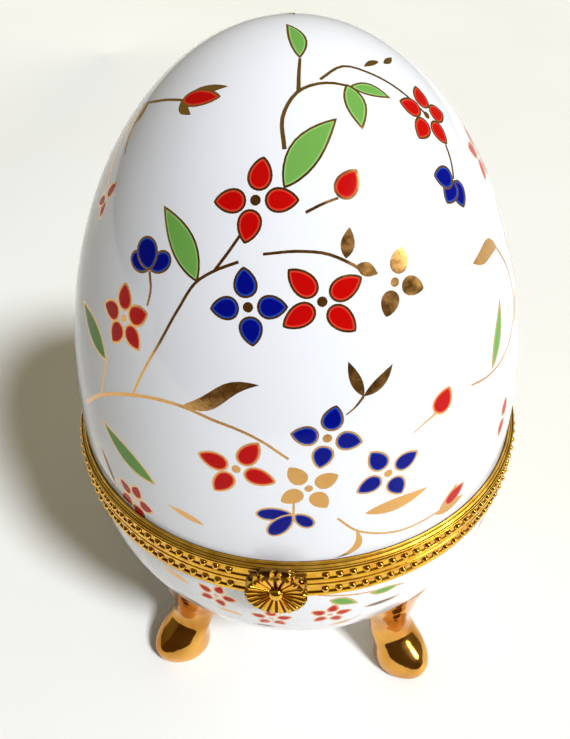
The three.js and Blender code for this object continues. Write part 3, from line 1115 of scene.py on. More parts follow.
# The front of the lid, from its crown to its band.
LID_FRONT: tuple[Figure, ...] = (
    # the crown
    Stem(((11, 60.5), (9, 59.5), (8, 58.3)), 0.35, 0.5),
    Stem(((2, 54), (1, 56.5), (8, 58.3), (24, 58.7), (34, 58.2)), 0.5, 0.34),
    Leaf((11, 60.5), (-10, 62.3), 1.1, 0.5, GREEN),
    Leaf((34, 58.2), (51, 56.5), 1.0, -0.3, GREEN),
    Leaf((33, 58.4), (31, 54.9), 1.3, -0.2, GREEN),
    Stem(((20, 59), (38, 59.6), (50, 58.7), (58, 57.2), (64, 54)), 0.35, 0.35),
    Leaf((64, 59.1), (50, 59.2), 0.5, 0.1, GOLD),
    Leaf((66, 58.8), (79, 58.7), 0.5, 0.1, GOLD),
    Blossom((64, 54), (35, 105, 175, 250, 320), 4.2, RED, 0.5, 1.3),
    Stem(((64, 51), (62, 49.5), (59, 48)), 0.35, 0.35),
    Blossom((59, 48), (185, 240, 300), 3.6, BLUE, 0.0, 1.45),
    # upper left
    Stem(((-49, 56.3), (-63.6, 55.2), (-76.6, 52.9), (-74.8, 51), (-73.9, 48.8), (-67.4, 46.4),
          (-65, 44.9)), 0.36, 0.5),
    Stem(((-71.5, 52.2), (-68, 50.8), (-63.4, 49.5)), 0.9, 0.3),
    Blossom((-62.5, 44.6), (25, 175, 230), 3.0, RED, 0.0, 0.9),
    Leaf((-49, 56.3), (-28, 58.3), 0.75, -0.3, GOLD),
    Leaf((-49, 56.3), (-39, 55.6), 0.7, 0.4, GOLD),
    Blossom((-49, 56.3), (62,), 5.6, RED, 0.0, 1.2),
    Leaf((-71, 51.8), (-72, 54.4), 0.8, 0.1, GOLD),
    # the large spray on the left
    Leaf((2, 50.9), (22.5, 56.1), 1.85, -0.5, GREEN),
    Stem(((-34, 25.5), (-31, 29.6), (-27, 34), (-23, 38.4), (-19, 41.7), (-15, 43), (-9, 44.2)), 0.36, 0.36),
    Stem(((-15, 43), (-12, 44.9), (-9, 46.8)), 0.36, 0.34),
    Blossom((-6, 49.8), (5, 85, 190, 265), 4.8, RED),
    Leaf((-19, 41.6), (-34, 47.7), 1.7, 0.4, GREEN),
    Stem(((8, 48.8), (13.5, 49.5), (17.5, 49.8)), 0.34, 0.3),
    Blossom((17.6, 49.7), (40,), 3.9, RED, 0.0, 1.4),
    Stem(((-32, 37.4), (-31.7, 39.2), (-33.2, 41.1)), 0.3, 0.4),
    Blossom((-33.2, 41.1), (284, 42), 3.7, BLUE, 0.0, 1.25, True),
    Blossom((-33.2, 41.0), (334,), 4.2, BLUE, 0.0, 1.75, True),
    Stem(((-3, 45.1), (6, 45.4), (13, 45), (18, 44), (22, 42.8)), 0.32, 0.38),
    Leaf((17.5, 44.4), (19.5, 47.2), 0.8, 0.0, GOLD),
    Leaf((20, 43.6), (25, 42.4), 0.8, 0.0, GOLD),
    Blossom((-6, 39.9), (350, 85, 170, 262), 4.5, BLUE),
    Blossom((11, 40.5), (317, 63, 135, 241), 5.2, RED),
    Blossom((29, 41.2), (25, 114, 205), 4.0, GOLD, 0.55, 1.15),
    Blossom((-39, 34.6), (350, 60, 130, 204, 271), 4.5, RED, 0.5, 1.4),
    Leaf((-44, 27.6), (-60, 31.6), 1.7, 0.3, GREEN),
    Stem(((-44, 27.9), (-45, 25), (-46, 21.7)), 0.35, 0.4),
    # the long branch over the left shoulder
    Stem(((-55, 16.8), (-46, 21.7), (-35, 25.3), (-26, 26.8), (-20, 27), (-13, 26.3), (-7, 25.5),
          (-3, 24.5), (3, 22)), 0.6, 0.35),
    Leaf((-20, 27.2), (-3, 31.5), 1.05, -0.1, GOLD, 0.5),
    # the middle
    Leaf((19, 29.5), (16, 33.9), 0.7, -0.1, GOLD),
    Leaf((19, 29.5), (26, 32.6), 0.7, 0.35, GOLD),
    Stem(((19, 29.5), (17, 28.3), (15, 27.5)), 0.4, 0.15),
    Blossom((36, 23.9), (36,), 4.0, RED, 0.0, 1.6),
    Stem(((36, 24.3), (33, 23.6), (30, 22.8)), 0.35, 0.15),
    Blossom((11, 24.7), (15, 105, 194, 282), 4.5, BLUE),
    Blossom((24, 17.9), (330, 64, 154, 245), 4.7, BLUE),
    Blossom((-8, 19.9), (33, 106, 216, 284), 5.2, RED),
    Blossom((7, 17.5), (325, 63, 146, 238), 4.1, GOLD, 0.55, 1.2),
    Blossom((3.8, 13.3), (266,), 4.9, BLUE, 0.0, 1.2, True),
    Blossom((3.8, 13.3), (134,), 3.5, BLUE, 0.0, 1.15, True),
    Blossom((3.8, 13.3), (218,), 5.3, BLUE, 0.0, 1.35, True),
    Stem(((3.8, 13.2), (3.9, 15.2)), 0.3, 0.3),
    # along the band
    Leaf((19, 12.0), (34, 13.0), 1.15, 0.3, GOLD),
    Stem(((13, 12), (17, 9.2), (23, 7.3), (27, 6.6), (33, 6.5), (38, 6.8)), 0.35, 0.4),
    Leaf((17, 9.4), (12.5, 4.0), 0.6, -1.9, GOLD),
    Leaf((38, 6.8), (43, 10.5), 0.7, 0.2, GOLD),
    Leaf((37, 6.4), (46, 6.8), 1.0, 0.2, GOLD),
    Blossom((39.5, 7.2), (58,), 4.3, RED, 0.0, 1.35),
    Leaf((-16, 8.7), (-25, 10.1), 0.6, 0.1, GOLD),
    Leaf((-28, 12.8), (-46, 17.8), 1.7, -0.3, GREEN),
    Leaf((-43, 5.7), (-49, 12.5), 0.8, 0.1, GREY),
    Blossom((-36, 6.6), (20, 90, 165, 240, 310), 3.8, RED, 0.45, 1.2),
    # the right side
    Leaf((68.7, 38.2), (54.4, 39.3), 1.2, 0.4, GOLD, 0.3),
    Stem(((68.5, 38.1), (73.3, 33.9), (74.1, 28.9), (69, 26.1), (61, 24.5), (53, 24.5),
          (47, 25.2)), 0.42, 0.3),
    Leaf((55.5, 24.8), (63.4, 32.7), 1.1, 0.3, GREEN),
    Leaf((72, 26), (78, 29.5), 0.6, 0.1, GOLD),
    Blossom((62, 14.2), (15, 200), 3.2, RED, 0.0, 1.1),
)

# One side of the lid.
LID_SIDE: tuple[Figure, ...] = (
    Blossom((87, 46.6), (20, 92, 164, 236, 308), 4.2, RED, 0.5, 1.2),
    Stem(((84, 41.5), (80, 37), (82, 31), (88, 26)), 0.45, 0.4),
    Leaf((82, 33), (92, 36), 1.1, 0.3, GREEN),
    Blossom((90, 21), (0, 90, 180, 270), 4.6, BLUE),
    Leaf((84, 12), (76, 17), 1.0, 0.3, GREEN),
    Stem(((84, 12), (90, 9.5), (98, 9)), 0.4, 0.3),
)

# The front of the bowl, below the band.
BOWL_FRONT: tuple[Figure, ...] = (
    Stem(((9, -3.6), (16, -4.6), (23, -5.2), (30, -6)), 0.35, 0.3),
    Blossom((-15, -6.8), (20, 90, 165, 235, 305), 3.3, RED, 0.45, 0.95),
    Blossom((-2, -11), (0, 72, 144, 216, 288), 3.3, RED, 0.45, 0.95),
    Blossom((12, -9.8), (10, 80, 150, 225, 300), 3.3, RED, 0.45, 0.95),
    Leaf((11.5, -5.2), (18.5, -7.4), 1.1, -0.2, GREEN),
    Leaf((21, -5.4), (29, -5.6), 0.9, 0.3, GREEN),
    Leaf((20, -9.3), (30, -9.2), 0.7, 0.2, GREY),
    Leaf((-22, -6.4), (-30, -5), 0.7, 0.2, GOLD),
    Leaf((-9, -11.5), (-16, -11), 0.6, 0.2, GOLD),
    Leaf((-1, -15.4), (-8, -15), 0.8, 0.2, GREY),
    Leaf((18, -13.6), (12, -14.6), 0.7, -0.2, GOLD),
    Stem(((-2, -14.3), (5, -16.5), (14, -15.5), (20, -12.5)), 0.3, 0.3),
)

# One side of the bowl.
BOWL_SIDE: tuple[Figure, ...] = (
    Stem(((62, -8), (72, -13), (84, -16), (98, -14)), 0.45, 0.35),
    Blossom((62, -8), (10, 82, 154, 226, 298), 3.6, RED, 0.45, 1.0),
    Blossom((100, -13), (0, 90, 180, 270), 3.8, BLUE, 0.5, 1.1),
    Leaf((76, -14.4), (82, -8), 1.1, 0.3, GREEN),
    Leaf((84, -16), (90, -22), 1.0, -0.3, GOLD),
    Leaf((112, -8), (121, -11), 0.9, 0.2, GOLD),
)


def all_round(*figures: Figure) -> list[Figure]:
    """The sprays of the front and one side, and the same again turned to the back."""
    return [*figures, *turned_round(figures, 180)]


# ---------------------------------------------------------------- the box


@dataclass(frozen=True)
class Lid:
    """The upper half of the egg.

    Attributes:
        radius: Radius at its widest ring.
        rise: Height of its crown above that ring.
        widest: Height of that ring above the seam.
        wall: Thickness of the porcelain.
        edge: Height of its lower edge above the seam.
        straight: How far below the widest ring its straight side starts to be drawn.
    """

    radius: float = 35.4
    rise: float = 58.9
    widest: float = 3.5
    wall: float = 2.8
    edge: float = 1.25
    straight: float = 1.1

    def dome(self, inset_by: float, steps: int) -> list[tuple[float, float]]:
        """The dome's outline from its crown down to its widest ring.

        Args:
            inset_by: How far it lies inside the outer dome.
            steps: How many points it has.

        Returns:
            Its points as radius and height.
        """
        radius, rise = self.radius - inset_by, self.rise - inset_by
        angles = np.linspace(np.pi / 2, 0, steps)
        made = [(float(radius * np.cos(a)), float(self.widest + rise * np.sin(a))) for a in angles]
        made[0] = (0.0, made[0][1])
        return made

    def build(self) -> bpy.types.Object:
        """Builds the lid and its decoration.

        Returns:
            The painted lid.
        """
        straight = (self.radius, self.widest - self.straight)
        outside = self.dome(0, 160) + [straight, (self.radius, self.edge)]
        hollow = self.dome(self.wall, 22)[::-1]
        inside = [(self.radius - self.wall, self.edge), *hollow]
        shell = PaintedShell(outside, inside, all_round(*LID_FRONT, *LID_SIDE))
        return piece(shell.mesh("painted_lid"), Rider.COVER, "lid_shell")


@dataclass(frozen=True)
class Bowl:
    """The lower half of the egg, without its feet.

    Attributes:
        radius: Radius that its side would have at the seam.
        depth: Depth of the outside below the seam.
        fullness: How much fuller than an ellipse it grows lower down.
        wall: Thickness of the side.
        floor: Thickness of the floor.
        flat: Radius of the flat underneath.
        neck: Radius of the plain neck inside the band.
        mouth: Radius of the opening.
        shoulder: Height at which the neck starts, from the seam.
        edge: Height of its upper edge, from the seam.
    """

    radius: float = 35.8
    depth: float = 37.5
    fullness: float = 0.108
    wall: float = 3.1
    floor: float = 4.0
    flat: float = 8.0
    neck: float = 35.4
    mouth: float = 32.6
    shoulder: float = -3.4
    edge: float = -1.25

    def side(
        self, inset_by: float, lift: float, first: float, last: float, steps: int
    ) -> list[tuple[float, float]]:
        """The side's outline between two angles below the seam.

        Args:
            inset_by: How far it lies inside the outer side.
            lift: How much shallower it is.
            first: Angle of its first point, in radians.
            last: Angle of its last point.
            steps: How many points it has.

        Returns:
            Its points as radius and height.
        """
        angles = np.linspace(first, last, steps)
        radii = (self.radius - inset_by) * np.cos(angles) * (1 + self.fullness * np.sin(angles))
        heights = -(self.depth - lift) * np.sin(angles)
        return list(zip(radii.tolist(), heights.tolist()))

    def reach_at(self, height: float) -> float:
        """Radius of the outside at a height from the seam, or 0 below the bowl."""
        down = min(1.0, max(0.0, -height / self.depth))
        return self.radius * math.sqrt(1 - down**2) * (1 + self.fullness * down)

    def build(self) -> bpy.types.Object:
        """Builds the bowl and its decoration.

        Returns:
            The painted bowl.
        """
        first = math.asin(-self.shoulder / self.depth)
        last = math.acos(self.flat / self.radius / (1 + self.fullness))
        side = self.side(0, 0, last, first, 130)
        well = 0.1  # the angle at which the hollow starts below the rim
        under = [(r, side[0][1]) for r in np.linspace(0, self.flat, 12)[:-1]]
        hollow = self.side(self.wall, self.floor, well, math.pi / 2, 24)
        hollow[-1] = (0.0, hollow[-1][1])
        inside = [(self.neck, self.shoulder), (self.neck, self.edge), (self.mouth, self.edge), *hollow]
        shell = PaintedShell(under + side, inside, all_round(*BOWL_FRONT, *BOWL_SIDE))
        return piece(shell.mesh("painted_bowl"), Rider.BASE, "bowl_with_feet")


@dataclass(frozen=True)
class Feet:
    """Four gilded feet that grow out of the bowl.

    Attributes:
        heights: Stations above the ground.
        reaches: Distance of each station's middle from the egg's axis.
        depths: Half of each station's depth, outwards.
        widths: Half of each station's width, across.
        ridge: How much fuller the front is.
        rooted: How deep inside the bowl's wall a foot ends.
        rooted_spread: How much less deep its outer side ends than its middle.
        sides: Sides of each station.
    """

    heights: Row = (0.0, 0.25, 0.9, 2.6, 4.6, 6.2, 8.2, 10.5, 14.0, 18.0, 21.5, 24.5, 27.0)
    reaches: Row = (29.2, 29.3, 29.5, 29.6, 29.0, 27.8, 26.4, 25.9, 25.8, 26.0, 26.6, 27.6, 28.6)
    depths: Row = (4.3, 4.75, 5.1, 5.2, 4.6, 3.8, 3.2, 3.2, 3.5, 4.0, 4.1, 4.0, 3.3)
    widths: Row = (4.1, 4.4, 4.7, 4.8, 4.6, 4.4, 4.3, 4.4, 4.9, 5.8, 6.4, 5.9, 3.6)
    ridge: float = 0.12
    rooted: float = 1.4
    rooted_spread: float = 0.5
    sides: int = 48

    def one(self) -> Shape:
        """One foot that stands on +X, smooth through its stations.

        Returns:
            The foot.
        """
        bowl = Bowl()
        sole = 1.2  # the rounded edge of the sole, which takes closer levels
        above = np.linspace(sole, self.heights[-1], 56)
        levels = np.unique(np.concatenate((np.linspace(0, sole, 7), above)))
        rows = (self.reaches, self.depths, self.widths)
        reach, depth, width = (eased(self.heights, row, levels) for row in rows)
        turn = 2 * np.pi * np.arange(self.sides) / self.sides
        out, across = np.cos(turn), np.sin(turn)
        rings = []
        for z, r, d, w in zip(levels, reach, depth, width):
            ridge = 1 + self.ridge * np.clip(out, 0, None) ** 3
            x, y = r + out * d * ridge, across * w
            buried = bowl.reach_at(z - SEAM) - self.rooted + self.rooted_spread * out
            push = np.maximum(1.0, buried / np.hypot(x, y))
            rings.append(list(zip(x * push, y * push, np.full_like(out, z))))
        return loft(rings, MIRROR_GOLD)

    def build(self) -> bpy.types.Object:
        """Sets the four feet under the bowl."""
        feet = RingOfCopies.make(self.one(), 4, AT_CENTRE, MIRROR_GOLD, phase_deg=45)
        return piece(feet.mesh("gilded_feet"), Rider.BASE, "bowl_with_feet")


@dataclass(frozen=True)
class Bead:
    """A round bead of the band, standing half out of it.

    Attributes:
        radius: Its radius.
        sides: Sides round its rim.
        rows: Rows of faces from its rim to its top.
    """

    radius: float = 0.56
    sides: int = 10
    rows: int = 4

    def shape(self) -> Shape:
        """A dome that faces +X, closed behind.

        Returns:
            The bead.
        """
        rings = []
        for row in range(self.rows):
            lift = math.radians(90 * row / self.rows)
            r, x = self.radius * math.cos(lift), self.radius * math.sin(lift)
            turns = [2 * math.pi * i / self.sides for i in range(self.sides)]
            rings.append([(x, r * math.cos(t), r * math.sin(t)) for t in turns])
        shape = loft(rings, BUFFED_BRASS)
        shape.points[-1] = (self.radius, 0.0, 0.0)
        return shape


@dataclass(frozen=True)
class Band:
    """The two rings of gilt brass and their rows of beads.

    Attributes:
        radius: Outer radius of the rings.
        mouth: Radius of the opening that they leave.
        seat: Radius at which the porcelain's edge sits.
        beads: Beads to a row, as if nothing stood in its way.
        upper_row: Height of the upper row above the seam.
        lower_row: Height of the lower row.
        sunk: How far the beads' middles lie inside the radius.
        sides: Sides of the rings.
        front_gap: Half the gap in the rows for the clasp.
        back_gap: Half the gap for the hinge.
        bead: The bead.
    """

    radius: float = 36.5
    mouth: float = 31.74
    seat: float = 32.3
    beads: int = 120
    upper_row: float = 1.75
    lower_row: float = -1.5
    sunk: float = 0.18
    sides: int = 240
    front_gap: float = 4.9
    back_gap: float = 6.9
    bead: Bead = Bead()

    def upper_outline(self) -> list[tuple[float, float, Finish]]:
        """The upper ring: a channel over the lid's edge, with mouldings and a sloping lip.

        Returns:
            Radius, height and finish of its points.
        """
        # dull is the dark brass that paints shade into the grooves and under the mouldings
        r, bright, satin, dull = self.radius, GILT_BRASS, SATIN_BRASS, SHADE_PAINTED_BRASS
        foot = [(self.mouth, 0.12, bright), (r - 0.3, 0.06, bright), (r - 0.06, 0.14, bright),
                (r, 0.3, bright)]
        channel = [(r, 0.95, bright), (r - 0.05, 1.0, dull), (r - 0.2, 1.08, bright),
                   (r - 0.22, 2.42, dull)]
        fillet = [(r - 0.06, 2.5, bright), (r, 2.56, bright), (r, 2.86, bright), (r - 0.05, 2.92, dull)]
        lip = [
            (r - 0.22, 2.95, dull), (r - 0.22, 3.02, satin), (r - 0.1, 3.06, satin), (r - 0.12, 3.16, satin),
            (r - 0.2, 3.22, dull), (r - 0.34, 3.2, satin), (r - 0.42, 3.26, satin), (r - 0.56, 3.5, dull),
            (r - 0.66, 3.53, satin), (r - 0.7, 3.66, satin), (r - 0.84, 3.84, satin), (r - 0.95, 3.9, dull),
        ]
        inside = [(r - 1.06, 3.86, dull), (r - 1.06, 1.2, bright), (r - 1.3, 1.0, bright)]
        wall = [(self.seat, 1.0, bright), (self.seat, 2.9, bright), (self.mouth, 2.9, bright)]
        return foot + channel + fillet + lip + inside + wall

    def lower_outline(self) -> list[tuple[float, float, Finish]]:
        """The lower ring, the same channel turned over with a plain lower edge.

        Returns:
            Radius, height and finish of its points.
        """
        # dull is the dark brass that paints shade into the grooves and under the lower edge
        r, bright, dull = self.radius, GILT_BRASS, SHADE_PAINTED_BRASS
        foot = [(self.mouth, -0.12, bright), (r - 0.3, -0.06, bright), (r - 0.06, -0.14, bright),
                (r, -0.28, bright)]
        channel = [(r, -0.8, bright), (r - 0.05, -0.85, dull), (r - 0.2, -0.92, bright),
                   (r - 0.22, -2.1, dull)]
        edge = [
            (r - 0.06, -2.18, bright), (r + 0.02, -2.3, bright), (r + 0.02, -2.8, bright),
            (r - 0.1, -3.02, bright), (r - 0.4, -3.1, dull), (r - 0.8, -3.1, dull), (r - 0.8, -1.2, bright),
        ]
        wall = [(self.seat, -1.0, bright), (self.seat, -2.9, bright), (self.mouth, -2.9, bright)]
        return foot + channel + edge + wall

    def row(self, height: float) -> Shape:
        """A row of beads with room for the clasp and the hinge.

        Args:
            height: Its height above the seam.

        Returns:
            The beads.
        """
        return RingOfCopies.make(
            self.bead.shape(), self.beads, self.radius - self.sunk, BUFFED_BRASS, height,
            360 / self.beads / 2, self.front_gap, self.back_gap,
        )

    def build(self) -> list[bpy.types.Object]:
        """Builds both rings.

        Returns:
            The upper ring and the lower one.
        """
        made = []
        rings = (
            ("beaded_ring_upper", self.upper_outline(), self.upper_row, Rider.COVER, "upper_ring"),
            ("beaded_ring_lower", self.lower_outline(), self.lower_row, Rider.BASE, "lower_ring"),
        )
        for name, outline, height, rider, node in rings:
            ring = lathe(outline, self.sides, closed=True).add(self.row(height))
            mesh = ring.moved(Matrix.Translation((0, 0, SEAM))).mesh(name, sharp_deg=50)
            made.append(piece(mesh, rider, node))
        return made


@dataclass(frozen=True)
class Clasp:
    """A two-tier flower of brass in front of the band.

    Attributes:
        back: Distance of its back from the egg's axis.
        petals: Round petals of the back tier.
        petal_at: Distance of a petal's middle from the flower's.
        petal_reach: Half of a petal's length.
        petal_half: Half of a petal's width.
        rays: Narrow petals of the front tier.
        hub: Radius at which the rays start.
        radius: Radius at which they end.
        tier: Height of the back tier.
        rim: Height of the front tier above it.
        dish: How deep the front tier is hollowed.
    """

    back: float = 36.8
    petals: int = 8
    petal_at: float = 2.9
    petal_reach: float = 1.55
    petal_half: float = 1.62
    rays: int = 20
    hub: float = 1.0
    radius: float = 4.3
    tier: float = 0.9
    rim: float = 1.15
    dish: float = 0.7

    def petal(self) -> Shape:
        """A round, domed petal that lies along +X and bulges towards +Z.

        Returns:
            The petal.
        """
        rings = []
        turns = [2 * math.pi * i / 20 for i in range(20)]
        for lift in np.linspace(0, 1, 6)[:-1]:
            shrink, rise = math.sqrt(1 - lift**2), self.tier * (0.6 + 0.7 * lift)
            rings.append([
                (
                    self.petal_at + self.petal_reach * shrink * math.cos(turn),
                    self.petal_half * shrink * math.sin(turn) * (0.86 + 0.14 * math.cos(turn)),
                    rise,
                )
                for turn in turns
            ])
        foot = [(x, y, 0.0) for x, y, _ in rings[0]]
        # the petals take the brass darkened as a painted dark reflection
        return loft([foot, *rings], DARK_REFLECTION_BRASS)

    def ray(self) -> Shape:
        """A narrow rib that widens and climbs outwards along +X, with a round end.

        Returns:
            The rib.
        """
        rings = []
        rounding = 0.8  # the share of its length at which its end starts to round
        bottom = self.tier - 0.2
        for share in np.linspace(0, 1, 9):
            x = self.hub + (self.radius - self.hub) * share
            end = math.sqrt(max(0.0, 1 - max(0.0, (share - rounding) / 0.2) ** 2))
            half = max(0.02, (0.12 + 0.38 * share) * end)
            base = self.tier + self.rim - self.dish - 0.4 + (self.dish - 0.05) * share**1.3
            crown = 0.42 * max(0.25, end)
            turns = [math.pi * k / 6 for k in range(7)]
            arc = [(x, half * math.cos(t), base + crown * math.sin(t)) for t in turns]
            rings.append(arc + [(x, -half, bottom), (x, half, bottom)])
        return loft(rings, BUFFED_BRASS)

    def build(self) -> bpy.types.Object:
        """Builds the flower, facing -Y.

        Returns:
            The flower.
        """
        # dull is the dark brass that paints shade on the backplate, under the dish's rim and in the dish
        # between the rays
        dull, bright, buffed = SHADE_PAINTED_BRASS, GILT_BRASS, BUFFED_BRASS
        tier, rim = self.tier, self.tier + self.rim
        floor = rim - self.dish
        plate = in_one(dull, (0, 0.0), (2.9, 0.0), (3.1, 0.3), (2.9, tier * 0.8), (0, tier * 0.8))
        dish = [
            (0, tier - 0.3, dull), (3.4, tier - 0.3, bright), (4.1, tier + 0.35, bright),
            (4.24, tier + 0.62, dull), (4.1, rim - 0.5, dull), (2.6, floor - 0.25, dull),
            (1.2, floor - 0.4, dull), (0, floor - 0.4, dull),
        ]
        dome = [(0.95 * math.cos(a), floor + 0.05 + 0.62 * math.sin(a)) for a in np.linspace(0.1, 1.45, 9)]
        bead = in_one(dull, (0, floor - 0.5), (1.15, floor - 0.4), (1.2, floor - 0.1))
        bead += [(1.0, floor, bright), *in_one(buffed, *dome, (0, floor + 0.67))]
        flower = Shape()
        for outline, sides in ((plate, 48), (dish, 80), (bead, 32)):
            flower.add(lathe(outline, sides, closed=False))
        flower.add(RingOfCopies.make(self.petal(), self.petals, AT_CENTRE, DARK_REFLECTION_BRASS, phase_deg=22.5))
        flower.add(RingOfCopies.make(self.ray(), self.rays, AT_CENTRE, buffed, phase_deg=9))
        stand = Matrix.Translation((0, -self.back, SEAM)) @ Matrix.Rotation(math.pi / 2, 4, "X")
        return piece(flower.moved(stand).mesh("clasp_flower"), Rider.COVER, "clasp_rosette")


@dataclass(frozen=True)
class Hinge:
    """Two leaves with rolled knuckles on a pin.

    Attributes:
        width: Width of the leaves and of the knuckles together.
        knuckle: Radius of a knuckle.
        bore: Radius of the hole through it.
        middle: Width of the middle knuckle.
        gap: Gap between two knuckles.
        pin: Radius of the pin.
        head: Radius of its heads.
        leaf_front: Distance of a leaf's inner face from the egg's axis.
        leaf_back: Distance of its outer face.
        leaf_near: Distance of its nearer edge from the seam.
        leaf_far: Distance of its farther edge.
        soft: Width of its softened edges.
        rivet_at: Distance of each rivet from its middle.
    """

    width: float = 12.0
    knuckle: float = 1.3
    bore: float = 0.56
    middle: float = 4.4
    gap: float = 0.3
    pin: float = 0.45
    head: float = 0.86
    leaf_front: float = 36.75
    leaf_back: float = 37.55
    leaf_near: float = 1.4
    leaf_far: float = 3.0
    soft: float = 0.18
    rivet_at: float = 4.4

    def barrel(self, centre: float, width: float) -> Shape:
        """A rolled knuckle along X with softened ends.

        Args:
            centre: Its middle along X.
            width: Its width.

        Returns:
            The knuckle.
        """
        half, soft, radius, bore = width / 2, 0.14, self.knuckle, self.bore
        outline = in_one(
            GILT_BRASS, (bore, -half), (radius - soft, -half), (radius, -half + soft),
            (radius, half - soft), (radius - soft, half), (bore, half),
        )
        lay = Matrix.Translation((centre, PIN_REACH, 0)) @ Matrix.Rotation(math.pi / 2, 4, "Y")
        return lathe(outline, 32, closed=True).moved(lay)

    def plate(self) -> Shape:
        """The leaf: a plate bent to the band, with rounded edges.

        Returns:
            The plate.
        """
        rows = []
        soft, side = self.soft, self.width / 2
        for x in np.linspace(-side, side, 25):
            inner = math.sqrt(self.leaf_front**2 - x * x)
            tight = soft if abs(abs(x) - side) < 1e-6 else 0.0
            near, far, back = self.leaf_near + tight, self.leaf_far - tight, self.leaf_back - tight
            rows.append([
                (x, inner, near), (x, back - soft, near), (x, back, near + soft),
                (x, back, far - soft), (x, back - soft, far), (x, inner, far),
            ])
        return loft(rows, GILT_BRASS)

    def web(self, centre: float, width: float) -> Shape:
        """The strap that runs from the leaf to its knuckle.

        Args:
            centre: Its middle along X.
            width: Its width.

        Returns:
            The strap.
        """
        left, right, low, high = centre - width / 2, centre + width / 2, 0.6, 1.75
        rows = [
            [(left, y, low), (right, y, low), (right, y, high), (left, y, high)]
            for y in (self.leaf_front + 0.2, PIN_REACH - 0.3, PIN_REACH)
        ]
        return loft(rows, GILT_BRASS)

    def rivet(self, x: float) -> Shape:
        """A small domed rivet head on the leaf.

        Args:
            x: Its place along X.

        Returns:
            The rivet head.
        """
        dome = ((0.0, -0.1), (0.42, -0.1), (0.42, 0.02), (0.34, 0.14), (0.18, 0.2), (0.0, 0.22))
        up = 2.25
        stand = Matrix.Translation((x, self.leaf_back, up)) @ Matrix.Rotation(-math.pi / 2, 4, "X")
        return lathe(in_one(GILT_BRASS, *dome), 16, closed=False).moved(stand)

    def leaf(self, knuckles: Sequence[tuple[float, float]]) -> Shape:
        """A leaf above the seam with its knuckles.

        Args:
            knuckles: Middle and width of each knuckle.

        Returns:
            The leaf.
        """
        made = self.plate()
        for centre, width in knuckles:
            made.add(self.web(centre, width - 0.1)).add(self.barrel(centre, width))
        for x in (-self.rivet_at, self.rivet_at):
            made.add(self.rivet(x))
        return made

    def rod(self) -> Shape:
        """The pin along X, with a small head at each end.

        Returns:
            The pin.
        """
        half, end, head, pin, neck = self.width / 2 + 0.15, self.width / 2 + 0.6, self.head, self.pin, 0.55
        outline = in_one(
            GILT_BRASS, (0, -end), (neck, -end + 0.03), (head, -half - 0.12), (head, -half), (pin, -half),
            (pin, half), (head, half), (head, half + 0.12), (neck, end - 0.03), (0, end),
        )
        lay = Matrix.Translation((0, PIN_REACH, SEAM)) @ Matrix.Rotation(math.pi / 2, 4, "Y")
        return lathe(outline, 24, closed=False).moved(lay)

    def build(self) -> list[bpy.types.Object]:
        """Builds both leaves and the pin.

        Returns:
            The upper leaf, the lower leaf and the pin.
        """
        outer = (self.width - self.middle) / 2 - self.gap
        centre = (self.width - outer) / 2
        lift = Matrix.Translation((0, 0, SEAM))
        over = lift @ Matrix.Scale(-1, 4, (0, 0, 1))
        upper = self.leaf([(0.0, self.middle)]).moved(lift)
        lower = self.leaf([(-centre, outer), (centre, outer)]).moved(over)
        return [
            piece(upper.mesh("hinge_upper"), Rider.COVER, "hinge_leaf_upper"),
            piece(lower.mesh("hinge_lower"), Rider.BASE, "hinge_leaf_lower"),
            piece(self.rod().mesh("hinge_rod"), Rider.BASE, "hinge_pin"),
        ]


# ---------------------------------------------------------------- studio


@dataclass(frozen=True)
class Viewpoint:
    """Where the camera stands and how it is turned.

    Attributes:
        round_deg: How far round from the clasp it stands, towards +X.
        above_deg: How far above the seam it stands, as an angle.
        distance: Its distance from the seam's middle.
        aim_side_deg: Turn of its aim to the side.
        aim_up_deg: Turn of its aim upwards.
        roll_deg: Turn about its own line of sight.
        lens: Focal length, for a sensor 36 mm wide.
    """

    round_deg: float = 4.7
    above_deg: float = 43.0
    distance: float = 125.4
    aim_side_deg: float = -0.86
    aim_up_deg: float = 2.64
    roll_deg: float = -0.8
    lens: float = 34.75

    def build(self) -> None:
        """Makes the camera."""
        turn, lift = math.radians(self.round_deg), math.radians(self.above_deg)
        back = Vector((math.sin(turn) * math.cos(lift), -math.cos(turn) * math.cos(lift), math.sin(lift)))
        spot = (Vector((0, 0, SEAM)) + self.distance * back) * MM
        right = Vector((math.cos(turn), math.sin(turn), 0))
        up = back.cross(right)
        aim = Matrix.Rotation(-math.radians(self.aim_side_deg), 3, up)
        back, right = aim @ back, aim @ right
        tip = Matrix.Rotation(math.radians(self.aim_up_deg), 3, right)
        back, up = tip @ back, tip @ up
        spin = Matrix.Rotation(math.radians(self.roll_deg), 3, back)
        right, up = spin @ right, spin @ up
        data = bpy.data.cameras.new("camera")
        data.lens, data.sensor_width = self.lens, 36.0
        data.clip_start, data.clip_end = 0.005, 20.0
        camera = put("camera", data)
        camera.matrix_world = Matrix.Translation(spot) @ Matrix((right, up, back)).transposed().to_4x4()
        bpy.context.scene.camera = camera


def lamp(name: str, kind: str, power: float, colour: str, way: Vector) -> bpy.types.Object:
    """Makes a light.

    Args:
        name: Its name.
        kind: "AREA" or "SUN".
        power: Watts, or watts on each square metre for a sun.
        colour: Colour of its light.
        way: The way that it shines.

    Returns:
        The light.
    """
    data = bpy.data.lights.new(name, kind)
    data.energy, data.color = power, linear(colour)[:3]
    made = put(name, data)
    made.rotation_euler = way.to_track_quat("-Z", "Y").to_euler()
    return made


def sheet(
    name: str, corners: Sequence[tuple[float, float, float]], material: bpy.types.Material
) -> bpy.types.Object:
    """Makes one face through four corners, in metres.

    Args:
        name: Its name.
        corners: The corners, in order.
        material: Its material.

    Returns:
        The object.
    """
    mesh = bpy.data.meshes.new(name)
    mesh.from_pydata(corners, [], [(0, 1, 2, 3)])
    mesh.materials.append(material)
    return put(name, mesh)


